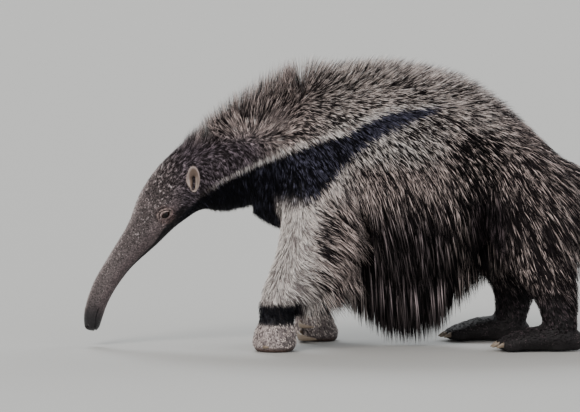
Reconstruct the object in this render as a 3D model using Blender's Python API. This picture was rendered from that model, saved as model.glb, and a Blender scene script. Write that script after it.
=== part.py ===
"""Giant anteater, life size, walking with its nose to the ground.

The animal faces -X, its left side is -Y and +Z is up, all in metres. One run of cross-sections makes the
head, neck, torso and tail, and more make the legs and feet. Thin gaps part them into nodes. Flat tapered
locks stand for the crest, the coat, the fringes and the plume of the tail, over a core that holds the lower
half of the coat.
"""

import math
from collections import namedtuple

import bmesh
import bpy
import numpy as np
from mathutils import Matrix, Vector
from mathutils.bvhtree import BVHTree

GAP = 0.0003
CORE_SHARE = 0.42
ROUND_TRUNK = 24
ROUND_HEAD = 20
ROUND_TAIL = 12
ROUND_LEG = 12
SIDES = {"left": -1, "right": 1}

# Cross-sections from the nose to the tip of the tail: up and down are the half depths above and below the
# centre, wide is the half width, and coat is how far the hair stands off the hide along the back.
Station = namedtuple("Station", "name x z up down wide coat")
SPINE = (
    Station("nose", -0.4005, 0.0420, 0.0160, 0.0160, 0.0160, 0.000),
    Station("nostril", -0.3985, 0.0560, 0.0182, 0.0182, 0.0176, 0.001),
    Station("muzzle", -0.3918, 0.0800, 0.0198, 0.0192, 0.0186, 0.001),
    Station("snout", -0.3805, 0.1077, 0.0212, 0.0208, 0.0196, 0.001),
    Station("bridge", -0.3466, 0.1615, 0.0242, 0.0238, 0.0230, 0.001),
    Station("cheek", -0.2997, 0.2192, 0.0352, 0.0342, 0.0305, 0.002),
    Station("eye", -0.2615, 0.2740, 0.0500, 0.0490, 0.0410, 0.003),
    Station("ear", -0.2150, 0.3170, 0.0590, 0.0600, 0.0490, 0.006),
    Station("nape", -0.1580, 0.3420, 0.0650, 0.0760, 0.0580, 0.026),
    Station("neck", -0.0930, 0.3620, 0.0920, 0.0890, 0.0720, 0.038),
    Station("withers", -0.0190, 0.3500, 0.1530, 0.1180, 0.0940, 0.035),
    Station("chest", 0.0700, 0.3450, 0.1700, 0.1350, 0.1060, 0.030),
    Station("back", 0.1630, 0.3450, 0.1780, 0.1300, 0.1140, 0.025),
    Station("loin", 0.2700, 0.3430, 0.1600, 0.1200, 0.1110, 0.022),
    Station("rump", 0.3750, 0.3250, 0.1130, 0.1080, 0.0980, 0.020),
    Station("hip", 0.4650, 0.3020, 0.0700, 0.0840, 0.0720, 0.020),
    Station("dock", 0.5450, 0.2900, 0.0400, 0.0480, 0.0380, 0.022),
    Station("tail_upper", 0.6900, 0.2880, 0.0270, 0.0300, 0.0230, 0.060),
    Station("tail_mid", 0.8800, 0.2930, 0.0200, 0.0220, 0.0170, 0.070),
    Station("tail_lower", 1.0600, 0.2980, 0.0140, 0.0150, 0.0125, 0.070),
    Station("tail_tip", 1.2000, 0.2930, 0.0080, 0.0080, 0.0080, 0.060),
)
# Where one node ends and the next starts, by distance from a named station.
NAPE_CUT, NECK_CUT, DOCK_CUT, TAIL_UPPER_CUT, TAIL_MID_CUT = -0.012, 0.020, -0.020, 0.060, 0.100
NOSE_ROUND, TAIL_ROUND, HEEL_ROUND, TOE_ROUND = 0.014, 0.020, 0.008, 0.010
# The tail's core keeps this share of its coat, and the tufts of the plume do the rest.
TAIL_SHARE = CORE_SHARE * 0.3

# Leg cross-sections from the shoulder or hip down: front and back are the half depths, side the half width.
LegStation = namedtuple("LegStation", "x y z back front side coat")
FORELEG = (
    LegStation(0.020, 0.052, 0.400, 0.055, 0.050, 0.030, 0.010),
    LegStation(0.026, 0.074, 0.330, 0.070, 0.062, 0.045, 0.012),
    LegStation(0.028, 0.088, 0.270, 0.076, 0.058, 0.052, 0.013),
    LegStation(0.024, 0.096, 0.215, 0.072, 0.060, 0.050, 0.013),
    LegStation(0.006, 0.100, 0.165, 0.060, 0.055, 0.045, 0.013),
    LegStation(-0.020, 0.102, 0.117, 0.046, 0.047, 0.039, 0.013),
    LegStation(-0.037, 0.103, 0.085, 0.036, 0.038, 0.034, 0.010),
    LegStation(-0.044, 0.103, 0.056, 0.031, 0.033, 0.032, 0.006),
)
FORE_FIST = (
    LegStation(-0.044, 0.103, 0.056, 0.031, 0.033, 0.032, 0.002),
    LegStation(-0.046, 0.104, 0.040, 0.036, 0.038, 0.037, 0.001),
    LegStation(-0.048, 0.105, 0.018, 0.041, 0.042, 0.041, 0.001),
    LegStation(-0.048, 0.105, 0.004, 0.037, 0.038, 0.037, 0.000),
    LegStation(-0.048, 0.105, 0.000, 0.034, 0.034, 0.033, 0.000),
)
HINDLEG = (
    LegStation(0.400, 0.050, 0.390, 0.060, 0.060, 0.030, 0.012),
    LegStation(0.420, 0.070, 0.320, 0.080, 0.085, 0.046, 0.016),
    LegStation(0.432, 0.084, 0.260, 0.082, 0.082, 0.053, 0.018),
    LegStation(0.438, 0.092, 0.200, 0.066, 0.068, 0.048, 0.018),
    LegStation(0.456, 0.097, 0.140, 0.046, 0.050, 0.040, 0.016),
    LegStation(0.472, 0.099, 0.095, 0.034, 0.038, 0.033, 0.010),
    LegStation(0.478, 0.100, 0.056, 0.030, 0.034, 0.031, 0.006),
)
HIND_STUB = (
    LegStation(0.478, 0.100, 0.056, 0.030, 0.034, 0.031, 0.002),
    LegStation(0.474, 0.100, 0.020, 0.030, 0.036, 0.031, 0.001),
    LegStation(0.470, 0.100, -0.010, 0.026, 0.032, 0.028, 0.000),
)
# The hind foot lies along X from the heel to the toes, so here back is the half depth below and front the
# one above.
HIND_SOLE = (
    LegStation(0.512, 0.101, 0.020, 0.022, 0.014, 0.018, 0.000),
    LegStation(0.490, 0.101, 0.024, 0.029, 0.022, 0.030, 0.000),
    LegStation(0.450, 0.101, 0.024, 0.029, 0.025, 0.034, 0.000),
    LegStation(0.405, 0.102, 0.020, 0.024, 0.020, 0.038, 0.000),
    LegStation(0.375, 0.102, 0.016, 0.018, 0.013, 0.037, 0.000),
)
# How far each foot is set back from where the tables put it, for a walking stance.
STRIDE = {
    ("fore", "left"): 0.0,
    ("fore", "right"): 0.085,
    ("hind", "left"): 0.02,
    ("hind", "right"): -0.075,
}
SHOULDER_Z = 0.34

# How locks change round the trunk from the crest at 0 to the belly at 180 degrees: the slant of the hair
# down from straight back, its length, and how far the tips stand off the core.
Around = namedtuple("Around", "angle slant length rise")
TORSO_COAT = (
    Around(0, 0, 0.100, 0.028),
    Around(25, 10, 0.108, 0.020),
    Around(60, 28, 0.116, 0.015),
    Around(100, 52, 0.118, 0.012),
    Around(122, 66, 0.120, 0.010),
)
TORSO_ROWS, TORSO_ARC, TORSO_LOCK_WIDE, TORSO_LOCK_THICK = 8, 0.080, 0.074, 0.0082
# Locks on the trunk bend down as far as the core falls away under this share of their length.
TORSO_FOLLOW = 0.9
# The belly fringe: where it grows along X, then how far round, its length and how it splays sideways.
FRINGE_X = (0.105, 0.150, 0.195, 0.240, 0.285, 0.325)
FRINGE = ((128, 0.150, 0.10), (155, 0.142, 0.02))
FRINGE_SLANT, FRINGE_WIDE, FRINGE_THICK = 76, 0.046, 0.010
WHORL = (-0.096, 0.415)
# The crest stands up over the neck and the withers in short locks that overlap edge to edge.
CREST_X, CREST_STEP = (-0.175, 0.030), 0.024
CREST_LENGTH, CREST_WIDE, CREST_THICK, CREST_SINK = 0.062, 0.038, 0.0080, 0.012
CREST_STAND = math.radians(48)
NECK_ROWS, NECK_ARC, NECK_LOCK_WIDE = 3, 0.061, 0.058
NECK_LAST, NECK_LOCK_LENGTH, NECK_LOCK_THICK, NECK_RISE = 128, 0.072, 0.0075, 0.012
# Leg locks by height, then by angle from the back of the leg to its outer side and front: slant from
# straight down towards the back, length and rise.
FORE_HEIGHTS = (0.280, 0.220, 0.160, 0.105)
FORE_COAT = ((0, 40, 0.104, 0.012), (50, 34, 0.090, 0.010), (100, 24, 0.072, 0.008), (150, 8, 0.062, 0.007))
HIND_HEIGHTS = (0.350, 0.285, 0.225, 0.165, 0.108)
HIND_COAT = ((8, 24, 0.086, 0.012), (62, 28, 0.088, 0.010), (118, 24, 0.080, 0.009))
LEG_LOCK_WIDE, LEG_LOCK_THICK = 0.052, 0.0058
# The plume: spacing along the bone, and rows by angle from the top: slant from straight back, length, width
# and thickness. The last locks fan out from the tip by these slants and lengths.
PLUME_STEP = 0.073
PLUME = ((172, 62, 0.225, 0.072, 0.014), (112, 44, 0.190, 0.068, 0.011), (24, 2, 0.160, 0.056, 0.011))
PLUME_TIP = ((-30, 0.12), (-14, 0.17), (2, 0.19), (18, 0.18), (34, 0.19), (50, 0.21))
PLUME_TIP_WIDE, PLUME_TIP_THICK = 0.042, 0.012
FLOOR_CLEAR, LOCK_CLEAR = 0.006, 0.0010

EYE_ALONG, EYE_BELOW = -0.0114, 0.0147
EYE_RADIUS, EYE_STANDS_OUT, EYE_SOCKET = 0.0095, 0.0040, 0.0020
# An eye looks out to its side, a little down and towards the nose.
EYE_DOWN, EYE_FORWARD = 0.34, 0.10
LID_LONG, LID_HIGH, LID_THICK, LID_SLANT = 0.0104, 0.0078, 0.0024, math.radians(-40)
LID_STEPS, LID_SIDES = 12, 5
EAR_HEIGHT, EAR_LENGTH, EAR_DEPTH, EAR_LEAN = 0.0280, 0.0140, 0.0160, math.radians(14)
EAR_WALL, EAR_TURN, EAR_OUT, EAR_BACK, EAR_UP = 0.0028, math.radians(14), 0.004, 0.0145, 0.0085
EAR_CUT_START = 0.1
NOSTRIL_RADII, NOSTRIL_APART, NOSTRIL_AHEAD, NOSTRIL_UP = (0.0032, 0.0024, 0.0055), 0.0080, 0.0125, 0.004
MOUTH_LENGTH, MOUTH_BELOW, MOUTH_GAP, MOUTH_DEEP = 0.034, 0.0075, 0.0014, 0.0026

# The fore claws curl back along the inside of the fist: digit, how far forward of the fist's centre, height,
# length, thickness and how far towards the inner side.
ForeClaw = namedtuple("ForeClaw", "digit forward z length thick inward")
FORE_CLAWS = (
    ForeClaw("inner", 0.018, 0.0490, 0.024, 0.0050, 0.016),
    ForeClaw("second", 0.026, 0.0345, 0.058, 0.0075, 0.018),
    ForeClaw("third", 0.030, 0.0130, 0.072, 0.0105, 0.022),
    ForeClaw("outer", 0.020, 0.0120, 0.022, 0.0060, -0.022),
)
LIP_THICK, LIP_APART, LIP_SIDES = 0.0017, 0.0034, 5
HIND_TOES, TOE_RADII, TOE_SPREAD, TOE_Z = 5, (0.021, 0.0088, 0.0135), 0.029, 0.0130
HIND_CLAW_LENGTH, HIND_CLAW_THICK, HIND_CLAW_AHEAD = 0.022, 0.0062, 0.014
TAIL_NODES = ("tail_root", "tail_middle", "tail_end")

COLOURS = {
    "hide": ((0.10, 0.085, 0.075), 0.9),
    "face": ((0.20, 0.165, 0.145), 0.85),
    "forearm": ((0.55, 0.50, 0.44), 0.9),
    "tail": ((0.12, 0.09, 0.075), 0.9),
    "ear": ((0.42, 0.35, 0.29), 0.8),
    "eye": ((0.015, 0.012, 0.010), 0.1),
    "claw": ((0.10, 0.085, 0.07), 0.45),
    "sole": ((0.06, 0.05, 0.045), 0.8),
}


def clear_scene():
    for obj in list(bpy.data.objects):
        bpy.data.objects.remove(obj, do_unlink=True)


def material(name):
    found = bpy.data.materials.get(name)
    if found:
        return found
    colour, roughness = COLOURS[name]
    made = bpy.data.materials.new(name)
    made.use_nodes = True
    shader = made.node_tree.nodes["Principled BSDF"]
    shader.inputs["Base Color"].default_value = (*colour, 1.0)
    shader.inputs["Roughness"].default_value = roughness
    shader.inputs["Metallic"].default_value = 0.0
    return made


def smooth_through(knots, values, at):
    """Cubic curves through the values at the knots, read at each place."""
    knots, values, at = np.asarray(knots), np.asarray(values), np.atleast_1d(at)
    slopes = np.gradient(values, knots, axis=0)
    i = np.clip(np.searchsorted(knots, at) - 1, 0, len(knots) - 2)
    step = (knots[i + 1] - knots[i])[:, None]
    t = ((at - knots[i]) / step[:, 0])[:, None]
    return (
        (2 * t**3 - 3 * t**2 + 1) * values[i]
        + (t**3 - 2 * t**2 + t) * step * slopes[i]
        + (3 * t**2 - 2 * t**3) * values[i + 1]
        + (t**3 - t**2) * step * slopes[i + 1]
    )


class Run:
    """A body or a leg as cross-sections along a smooth centre line, read by the distance along it."""

    def __init__(self, rows, sharp_up=2.0, sharp_down=2.0, level=False):
        self.rows = np.array(rows, float)
        self.level = level
        steps = np.linalg.norm(np.diff(self.rows[:, :3], axis=0), axis=1)
        self.knots = np.concatenate([[0.0], np.cumsum(steps)])
        self.sharp = sharp_up, sharp_down

    def frame(self, at):
        """Centre, direction, depth axis and side axis at a distance along the run."""
        near = smooth_through(self.knots, self.rows, [at - 0.001, at, at + 0.001])
        along = np.array([0.0, 0.0, -1.0]) if self.level else near[2, :3] - near[0, :3]
        along /= np.linalg.norm(along)
        side = np.array([0.0, 1.0, 0.0])
        side -= along * (side @ along)
        side /= np.linalg.norm(side)
        return near[1], along, np.cross(along, side), side

    def at_height(self, z):
        """The distance along a run that goes down at which it reaches a height."""
        return float(np.interp(-z, -self.rows[:, 2], self.knots))

    def point(self, at, angle, grow=0.0, coat_share=0.0):
        """The point on the surface at an angle from the depth axis, towards the side axis."""
        values, _, depth, side = self.frame(at)
        return self._place(values, depth, side, np.array([angle]), grow, coat_share)[0]

    def _place(self, values, depth, side, angles, grow, coat_share):
        up, down, wide, coat = values[3:7]
        cosine, sine = np.cos(angles), np.sin(angles)
        power = np.where(cosine > 0, 2.0 / self.sharp[0], 2.0 / self.sharp[1])
        grown = grow + coat_share * coat
        reach = np.where(cosine > 0, up, down) + grown
        a = np.sign(cosine) * np.abs(cosine) ** power * reach
        b = np.sign(sine) * np.abs(sine) ** power * (wide + grow + coat_share * coat * 0.7)
        return values[:3] + np.outer(a, depth) + np.outer(b, side)

    def ring(self, at, around, grow=0.0, coat_share=0.0, scale=1.0, shift=0.0):
        values, along, depth, side = self.frame(at)
        angles = circle(around)
        points = self._place(values, depth, side, angles, grow, coat_share)
        return values[:3] + (points - values[:3]) * scale + along * shift


def loft(rings):
    """A closed bmesh through rings of equal length, with flat ends."""
    mesh = bmesh.new()
    rows = [[mesh.verts.new(p) for p in ring] for ring in rings]
    for first, second in zip(rows, rows[1:]):
        for j in range(len(first)):
            k = (j + 1) % len(first)
            mesh.faces.new((first[j], second[j], second[k]))
            mesh.faces.new((first[j], second[k], first[k]))
    mesh.faces.new(rows[0])
    mesh.faces.new(reversed(rows[-1]))
    bmesh.ops.recalc_face_normals(mesh, faces=mesh.faces)
    return mesh


def run_mesh(run, start, end, count, around, grow=0.0, coat_share=0.0, round_start=0.0, round_end=0.0):
    """A loft along part of a run. A rounded end closes like half an egg within the given length."""
    places = np.linspace(start, end, count)
    places[[0, -1]] += -grow, grow
    rings = [run.ring(at, around, grow, coat_share) for at in places]
    turns = np.radians([72, 48, 22])
    for turn in reversed(turns) if round_start else ():
        reach = -round_start * math.sin(turn)
        rings.insert(0, run.ring(start, around, grow, coat_share, math.cos(turn), reach))
    for turn in reversed(turns) if round_end else ():
        rings.append(run.ring(end, around, grow, coat_share, math.cos(turn), round_end * math.sin(turn)))
    return loft(rings)


def add_object(name, mesh, colour, smooth=True):
    """Makes an object of a bmesh, shaded smooth with its sharp edges kept."""
    data = bpy.data.meshes.new(name)
    mesh.to_mesh(data)
    mesh.free()
    data.materials.append(material(colour))
    if smooth:
        data.shade_smooth()
        data.set_sharp_from_angle(angle=math.radians(50))
    obj = bpy.data.objects.new(name, data)
    bpy.context.scene.collection.objects.link(obj)
    return obj


def boolean(obj, others, operation, solver="EXACT"):
    """Applies one Boolean with a collection of closed objects, then removes them."""
    group = bpy.data.collections.new("pieces")
    for other in others:
        group.objects.link(other)
    modifier = obj.modifiers.new("boolean", "BOOLEAN")
    modifier.operation = operation
    modifier.operand_type = "COLLECTION"
    modifier.collection = group
    modifier.solver = solver
    bpy.context.view_layer.update()
    graph = bpy.context.evaluated_depsgraph_get()
    made = bpy.data.meshes.new_from_object(obj.evaluated_get(graph))
    obj.modifiers.clear()
    obj.data = made
    for other in others:
        bpy.data.objects.remove(other, do_unlink=True)
    bpy.data.collections.remove(group)
    return keep_largest(obj)


def keep_largest(obj):
    """Keeps the object's largest closed surface and drops loose scraps."""
    mesh = bmesh.new()
    mesh.from_mesh(obj.data)
    bmesh.ops.remove_doubles(mesh, verts=mesh.verts, dist=1e-6)
    left, islands = set(mesh.verts), []
    while left:
        stack, island = [left.pop()], set()
        while stack:
            vert = stack.pop()
            island.add(vert)
            for edge in vert.link_edges:
                other = edge.other_vert(vert)
                if other in left:
                    left.remove(other)
                    stack.append(other)
        islands.append(island)
    islands.sort(key=len, reverse=True)
    for island in islands[1:]:
        bmesh.ops.delete(mesh, geom=list(island), context="VERTS")
    mesh.to_mesh(obj.data)
    mesh.free()
    obj.data.shade_smooth()
    obj.data.set_sharp_from_angle(angle=math.radians(50))
    return obj


def ellipsoid(name, centre, radii, turn, colour, rings=10, segments=16):
    mesh = bmesh.new()
    bmesh.ops.create_uvsphere(mesh, u_segments=segments, v_segments=rings, radius=1.0)
    place = Matrix.Translation(Vector(centre)) @ turn.to_4x4() @ Matrix.Diagonal((*radii, 1.0))
    bmesh.ops.transform(mesh, matrix=place, verts=mesh.verts)
    return add_object(name, mesh, colour)


def spine_run():
    return Run([(s.x, 0.0, s.z, s.up, s.down, s.wide, s.coat) for s in SPINE], sharp_up=1.9, sharp_down=2.2)


def place_of(run, name):
    """The distance along the spine of a named station."""
    return run.knots[[s.name for s in SPINE].index(name)]


def side_rows(stations, which, side):
    """The rows of a leg on one side, with the foot set back by its stride."""
    stride, sign = STRIDE[which, side], SIDES[side]
    return [
        (s.x + stride * max(0.0, (SHOULDER_Z - s.z) / SHOULDER_Z), sign * s.y, *s[2:])
        for s in stations
    ]


def eye_centre(run, side):
    """The eyeball's centre, sunk so that only its front stands out of the cheek."""
    values, along, depth, sideways = run.frame(place_of(run, "eye"))
    on_axis = values[:3] + along * EYE_ALONG - depth * EYE_BELOW
    wide = values[5] * math.sqrt(1 - (EYE_BELOW / values[4]) ** 2) - EYE_SOCKET
    return on_axis + sideways * SIDES[side] * (wide - EYE_RADIUS + EYE_STANDS_OUT)


def circle(sides):
    """Evenly spaced angles round a circle."""
    return np.arange(sides) * 2 * math.pi / sides


def lid_ring(run, side):
    """The raised rim of the lids: an oval ring round the eye that slants down towards the snout."""
    centre, sign = eye_centre(run, side), SIDES[side]
    _, along, depth, sideways = run.frame(place_of(run, "eye") + EYE_ALONG)
    out = unit(sideways * sign - depth * EYE_DOWN - along * EYE_FORWARD)
    fore = unit(along - out * (along @ out))
    over = np.cross(out, fore)
    middle = centre + out * (EYE_RADIUS * 0.50)
    mesh, rows = bmesh.new(), []
    for turn in circle(LID_STEPS):
        x, y = LID_LONG * math.cos(turn), LID_HIGH * math.sin(turn)
        a = x * math.cos(LID_SLANT) - y * math.sin(LID_SLANT)
        b = x * math.sin(LID_SLANT) + y * math.cos(LID_SLANT)
        away = fore * a + over * b
        wide, deep = unit(away) * LID_THICK * 1.3, out * LID_THICK
        spots = [middle + away + math.cos(c) * wide + math.sin(c) * deep for c in circle(LID_SIDES)]
        rows.append([mesh.verts.new(spot) for spot in spots])
    for row, after in zip(rows, rows[1:] + rows[:1]):
        for j in range(LID_SIDES):
            k = (j + 1) % LID_SIDES
            mesh.faces.new((row[j], after[j], after[k], row[k]))
    bmesh.ops.recalc_face_normals(mesh, faces=mesh.faces)
    return add_object("lid", mesh, "face")


def lips(run):
    """A thin roll above and one below the line of the mouth on each side."""
    rolls = []
    for sign in (-1, 1):
        for shift in (-1, 1):
            rings = []
            for at in np.linspace(0.004, MOUTH_LENGTH + 0.004, 5):
                values, _, depth, side = run.frame(at)
                level = MOUTH_BELOW - shift * LIP_APART / 2
                wide = values[5] * math.sqrt(1 - (level / values[4]) ** 2)
                middle = values[:3] - depth * level + side * sign * (wide - LIP_THICK * 0.55)
                thick = LIP_THICK * (0.55 if at > MOUTH_LENGTH else 1.0)
                turns = circle(LIP_SIDES)
                rings.append([middle + thick * (math.cos(a) * depth + math.sin(a) * side) for a in turns])
            rolls.append(add_object("lip", loft(rings), "face"))
    return rolls


def mouth_groove(run):
    """The line of the mouth: a thin flat plate, hollowed so that it only scores the surface."""
    corners = ((1, 1), (1, -1), (-1, -1), (-1, 1))
    rings = []
    for at in np.linspace(-2 * NOSE_ROUND, MOUTH_LENGTH, 8):
        values, _, depth, side = run.frame(at)
        middle = values[:3] - depth * MOUTH_BELOW
        rings.append([middle + depth * MOUTH_GAP / 2 * a + side * 0.03 * b for a, b in corners])
    plate = add_object("mouth", loft(rings), "face", smooth=False)
    core = run_mesh(run, 0.0, MOUTH_LENGTH + 0.01, 8, 16, grow=-MOUTH_DEEP, round_start=0.010)
    return boolean(plate, [add_object("core", core, "face")], "DIFFERENCE")


def nostrils(run):
    """Two upright slots, set apart at the tip of the snout."""
    values, along, depth, side = run.frame(0.0)
    centre = values[:3] - along * NOSTRIL_AHEAD + depth * NOSTRIL_UP
    spots = [centre + side * NOSTRIL_APART * sign for sign in (-1, 1)]
    return [ellipsoid("nostril", spot, NOSTRIL_RADII, Matrix.Identity(3), "face", 6, 10) for spot in spots]


def make_head(run):
    """The head from the nose to the nape with its lids and lips, cut for the eyes, mouth and nostrils."""
    end = place_of(run, "nape") + NAPE_CUT - GAP / 2
    mesh = run_mesh(run, 0.0, end, 17, ROUND_HEAD, coat_share=CORE_SHARE, round_start=NOSE_ROUND)
    head = add_object("head", mesh, "face")
    boolean(head, [*(lid_ring(run, side) for side in SIDES), *lips(run)], "UNION")
    radii = (EYE_RADIUS + GAP * 1.5,) * 3
    eyes = [eye_centre(run, side) for side in SIDES]
    sockets = [ellipsoid("socket", eye, radii, Matrix.Identity(3), "face", 8, 14) for eye in eyes]
    boolean(head, [*sockets, mouth_groove(run), *nostrils(run)], "DIFFERENCE")
    return head


def make_eyes(run):
    for side in SIDES:
        ellipsoid(f"eye_{side}", eye_centre(run, side), (EYE_RADIUS,) * 3, Matrix.Identity(3), "eye", 8, 14)


def make_ears(run):
    """Each ear is a narrow cup that opens out and forward, cut to sit on the head."""
    values, _, _, _ = run.frame(place_of(run, "ear"))
    ears = []
    for side, sign in SIDES.items():
        turn = Matrix.Rotation(-sign * EAR_LEAN, 3, "X") @ Matrix.Rotation(sign * EAR_TURN, 3, "Z")
        out = turn @ Vector((0, sign, 0))
        centre = Vector((values[0] + EAR_BACK, sign * (values[5] + EAR_OUT), values[2] + EAR_UP))
        ear = ellipsoid(f"ear_{side}", centre, (EAR_LENGTH, EAR_DEPTH, EAR_HEIGHT), turn, "ear", 9, 14)
        hollow = (EAR_LENGTH - EAR_WALL, EAR_DEPTH, EAR_HEIGHT - EAR_WALL)
        cup = ellipsoid("cup", centre + out * EAR_WALL * 1.6, hollow, turn, "ear", 8, 12)
        end = place_of(run, "nape") + NAPE_CUT
        head = run_mesh(run, EAR_CUT_START, end, 14, ROUND_HEAD, GAP, CORE_SHARE)
        ears.append(boolean(ear, [cup, add_object("head_cut", head, "ear")], "DIFFERENCE"))
    return ears


def neck_mesh(run, grow=0.0):
    start, end = place_of(run, "nape") + NAPE_CUT + GAP / 2, place_of(run, "neck") + NECK_CUT - GAP / 2
    return run_mesh(run, start, end, 7, ROUND_TRUNK, grow, CORE_SHARE)


def torso_mesh(run, grow=0.0):
    start, end = place_of(run, "neck") + NECK_CUT + GAP / 2, place_of(run, "dock") + DOCK_CUT - GAP / 2
    return run_mesh(run, start, end, 17, ROUND_TRUNK, grow, CORE_SHARE)


def tail_bounds(run, index):
    """Where one of the three lengths of tail starts and ends along the spine."""
    cuts = (("dock", DOCK_CUT), ("tail_upper", TAIL_UPPER_CUT), ("tail_mid", TAIL_MID_CUT))
    bounds = [*(place_of(run, name) + shift for name, shift in cuts), run.knots[-1]]
    return bounds[index] + GAP / 2, bounds[index + 1] - GAP / 2


def tail_mesh(run, index, grow=0.0):
    start, end = tail_bounds(run, index)
    last = index == len(TAIL_NODES) - 1
    return run_mesh(run, start, end, 6, ROUND_TAIL, grow, TAIL_SHARE, round_end=TAIL_ROUND if last else 0.0)


def trunk_cutters(run):
    """The neck, torso and tail root grown by the gap, to cut what meets them."""
    meshes = neck_mesh(run, GAP), torso_mesh(run, GAP), tail_mesh(run, 0, GAP)
    return [add_object("trunk_cut", mesh, "hide") for mesh in meshes]


def unit(vector):
    return vector / np.linalg.norm(vector)


def on_surface(run, at, angle, coat_share=CORE_SHARE):
    """A point of the core, the direction out of it and the direction along the run."""
    here = run.point(at, angle, 0.0, coat_share)
    along = run.point(at + 0.002, angle, 0.0, coat_share) - run.point(at - 0.002, angle, 0.0, coat_share)
    across = run.point(at, angle + 0.04, 0.0, coat_share) - run.point(at, angle - 0.04, 0.0, coat_share)
    out = unit(np.cross(across, along))
    return here, out if out @ (here - run.frame(at)[0][:3]) > 0 else -out, unit(along)


class Lock:
    """A flat tapered lock with a ridge: it leaves the core, bends along its lie and droops to its tip."""

    TIMES, WIDTHS = (0.0, 0.32, 0.70), (0.80, 1.0, 0.62)
    LONG_TIMES, LONG_WIDTHS = (0.0, 0.28, 0.58, 0.84), (0.60, 0.95, 1.0, 0.70)

    def __init__(self, root, out, lie, length, wide, thick, rise, droop=0.0, sink=0.007):
        self.root, self.out = np.asarray(root, float), np.asarray(out, float)
        lie = unit(np.asarray(lie, float))
        inward = min(0.0, lie @ self.out)
        self.lie = unit(lie - self.out * inward)
        self.length, self.wide, self.thick = length, wide, thick
        self.rise, self.droop, self.sink = rise, droop, sink

    def path(self, t):
        lift = -self.sink + (self.rise + self.sink) * t * (1.6 - 0.6 * t)
        return self.root + self.out * lift + self.lie * self.length * t - np.array([0, 0, self.droop * t * t])

    def mesh(self, grow=0.0):
        face = self.out - self.lie * (self.out @ self.lie)
        if np.linalg.norm(face) < 0.35:
            face = np.array([0.0, math.copysign(1.0, self.root[1]), 0.0])
            face -= self.lie * (face @ self.lie)
        face = unit(face)
        side = np.cross(self.lie, face)
        rings = []
        long = self.length > 0.13
        for t, share in zip(*((self.LONG_TIMES, self.LONG_WIDTHS) if long else (self.TIMES, self.WIDTHS))):
            half, middle = self.wide * share / 2 + grow, self.path(t)
            ridge = self.thick * share * 0.75 + grow
            under = middle - face * (self.thick * share * 0.25 + grow)
            rings.append([under + side * half, under - side * half, middle + face * ridge])
        mesh = bmesh.new()
        rows = [[mesh.verts.new(p) for p in ring] for ring in rings]
        tip = mesh.verts.new(self.path(1.0 + grow / self.length))
        mesh.faces.new(rows[0])
        for first, second in zip(rows, rows[1:]):
            for j in range(3):
                k = (j + 1) % 3
                mesh.faces.new((first[j], second[j], second[k]))
                mesh.faces.new((first[j], second[k], first[k]))
        for j in range(3):
            mesh.faces.new((rows[-1][j], tip, rows[-1][(j + 1) % 3]))
        bmesh.ops.recalc_face_normals(mesh, faces=mesh.faces)
        return mesh

    def lowest(self):
        return min(self.path(t)[2] for t in (0.68, 0.85, 1.0)) - self.thick * 0.3


class Coat:
    """The locks of one node, kept clear of the nodes finished before it and of the floor."""

    def __init__(self, node, neighbours, seed):
        self.node, self.random = node, np.random.default_rng(seed)
        self.trees = [tree_of(neighbour) for neighbour in neighbours]
        self.locks = []

    def vary(self, value, share):
        return value * (1 + share * self.random.uniform(-1, 1))

    def add(self, root, out, lie, length, wide, thick, rise, droop=0.0):
        """Adds a lock, raised or shortened until it is clear, or leaves it out."""
        lie = lie + np.cross(out, lie) * self.random.uniform(-0.14, 0.14)
        length, wide, rise = self.vary(length, 0.13), self.vary(wide, 0.10), self.vary(rise, 0.15)
        lock = Lock(root, out, lie, length, wide, thick, rise, droop)
        for attempt in range(7):
            if self.is_clear(lock):
                self.locks.append(lock)
                return
            if attempt % 2:
                lock.length *= 0.82
                lock.droop *= 0.82
            else:
                lock.rise += 0.005
        lock.wide *= 0.7
        if lock.length > length * 0.4 and self.is_clear(lock):
            self.locks.append(lock)

    def is_clear(self, lock):
        """Whether a lock stays over the floor and off the neighbours."""
        if lock.lowest() < FLOOR_CLEAR:
            return False
        mesh = lock.mesh(grow=LOCK_CLEAR)
        tree = BVHTree.FromBMesh(mesh)
        mesh.free()
        return not any(tree.overlap(other) for other in self.trees)

    def fuse(self):
        """Joins the locks to their node in one union."""
        pieces = [add_object("lock", lock.mesh(), "hide", smooth=False) for lock in self.locks]
        colour = self.node.data.materials[0]
        boolean(self.node, pieces, "UNION", "MANIFOLD")
        self.node.data.materials.clear()
        self.node.data.materials.append(colour)
        self.node.data.polygons.foreach_set("material_index", [0] * len(self.node.data.polygons))
        return self.node


def tree_of(obj):
    mesh = bmesh.new()
    mesh.from_mesh(obj.data)
    tree = BVHTree.FromBMesh(mesh)
    mesh.free()
    return tree


def places_around(run, at, arc, last, offset):
    """Angles from the crest down to the last one, evenly spaced by arc length on the core, for both sides."""
    angles = np.radians(np.linspace(0, last, 60))
    points = np.array([run.point(at, angle, 0.0, CORE_SHARE) for angle in angles])
    lengths = np.concatenate([[0.0], np.cumsum(np.linalg.norm(np.diff(points, axis=0), axis=1))])
    wanted = np.arange(offset, lengths[-1], arc)
    found = np.interp(wanted, lengths, angles)
    sides = [sign * angle for angle in found if angle > 0.01 for sign in (-1, 1)]
    return sides if offset else [0.0, *sides]


def slanted(along, degrees, side=0.0):
    """A direction along the run, turned down by some degrees."""
    turn = math.radians(degrees)
    return unit(along * math.cos(turn) + np.array([0.0, side, -math.sin(turn)]))


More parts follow.
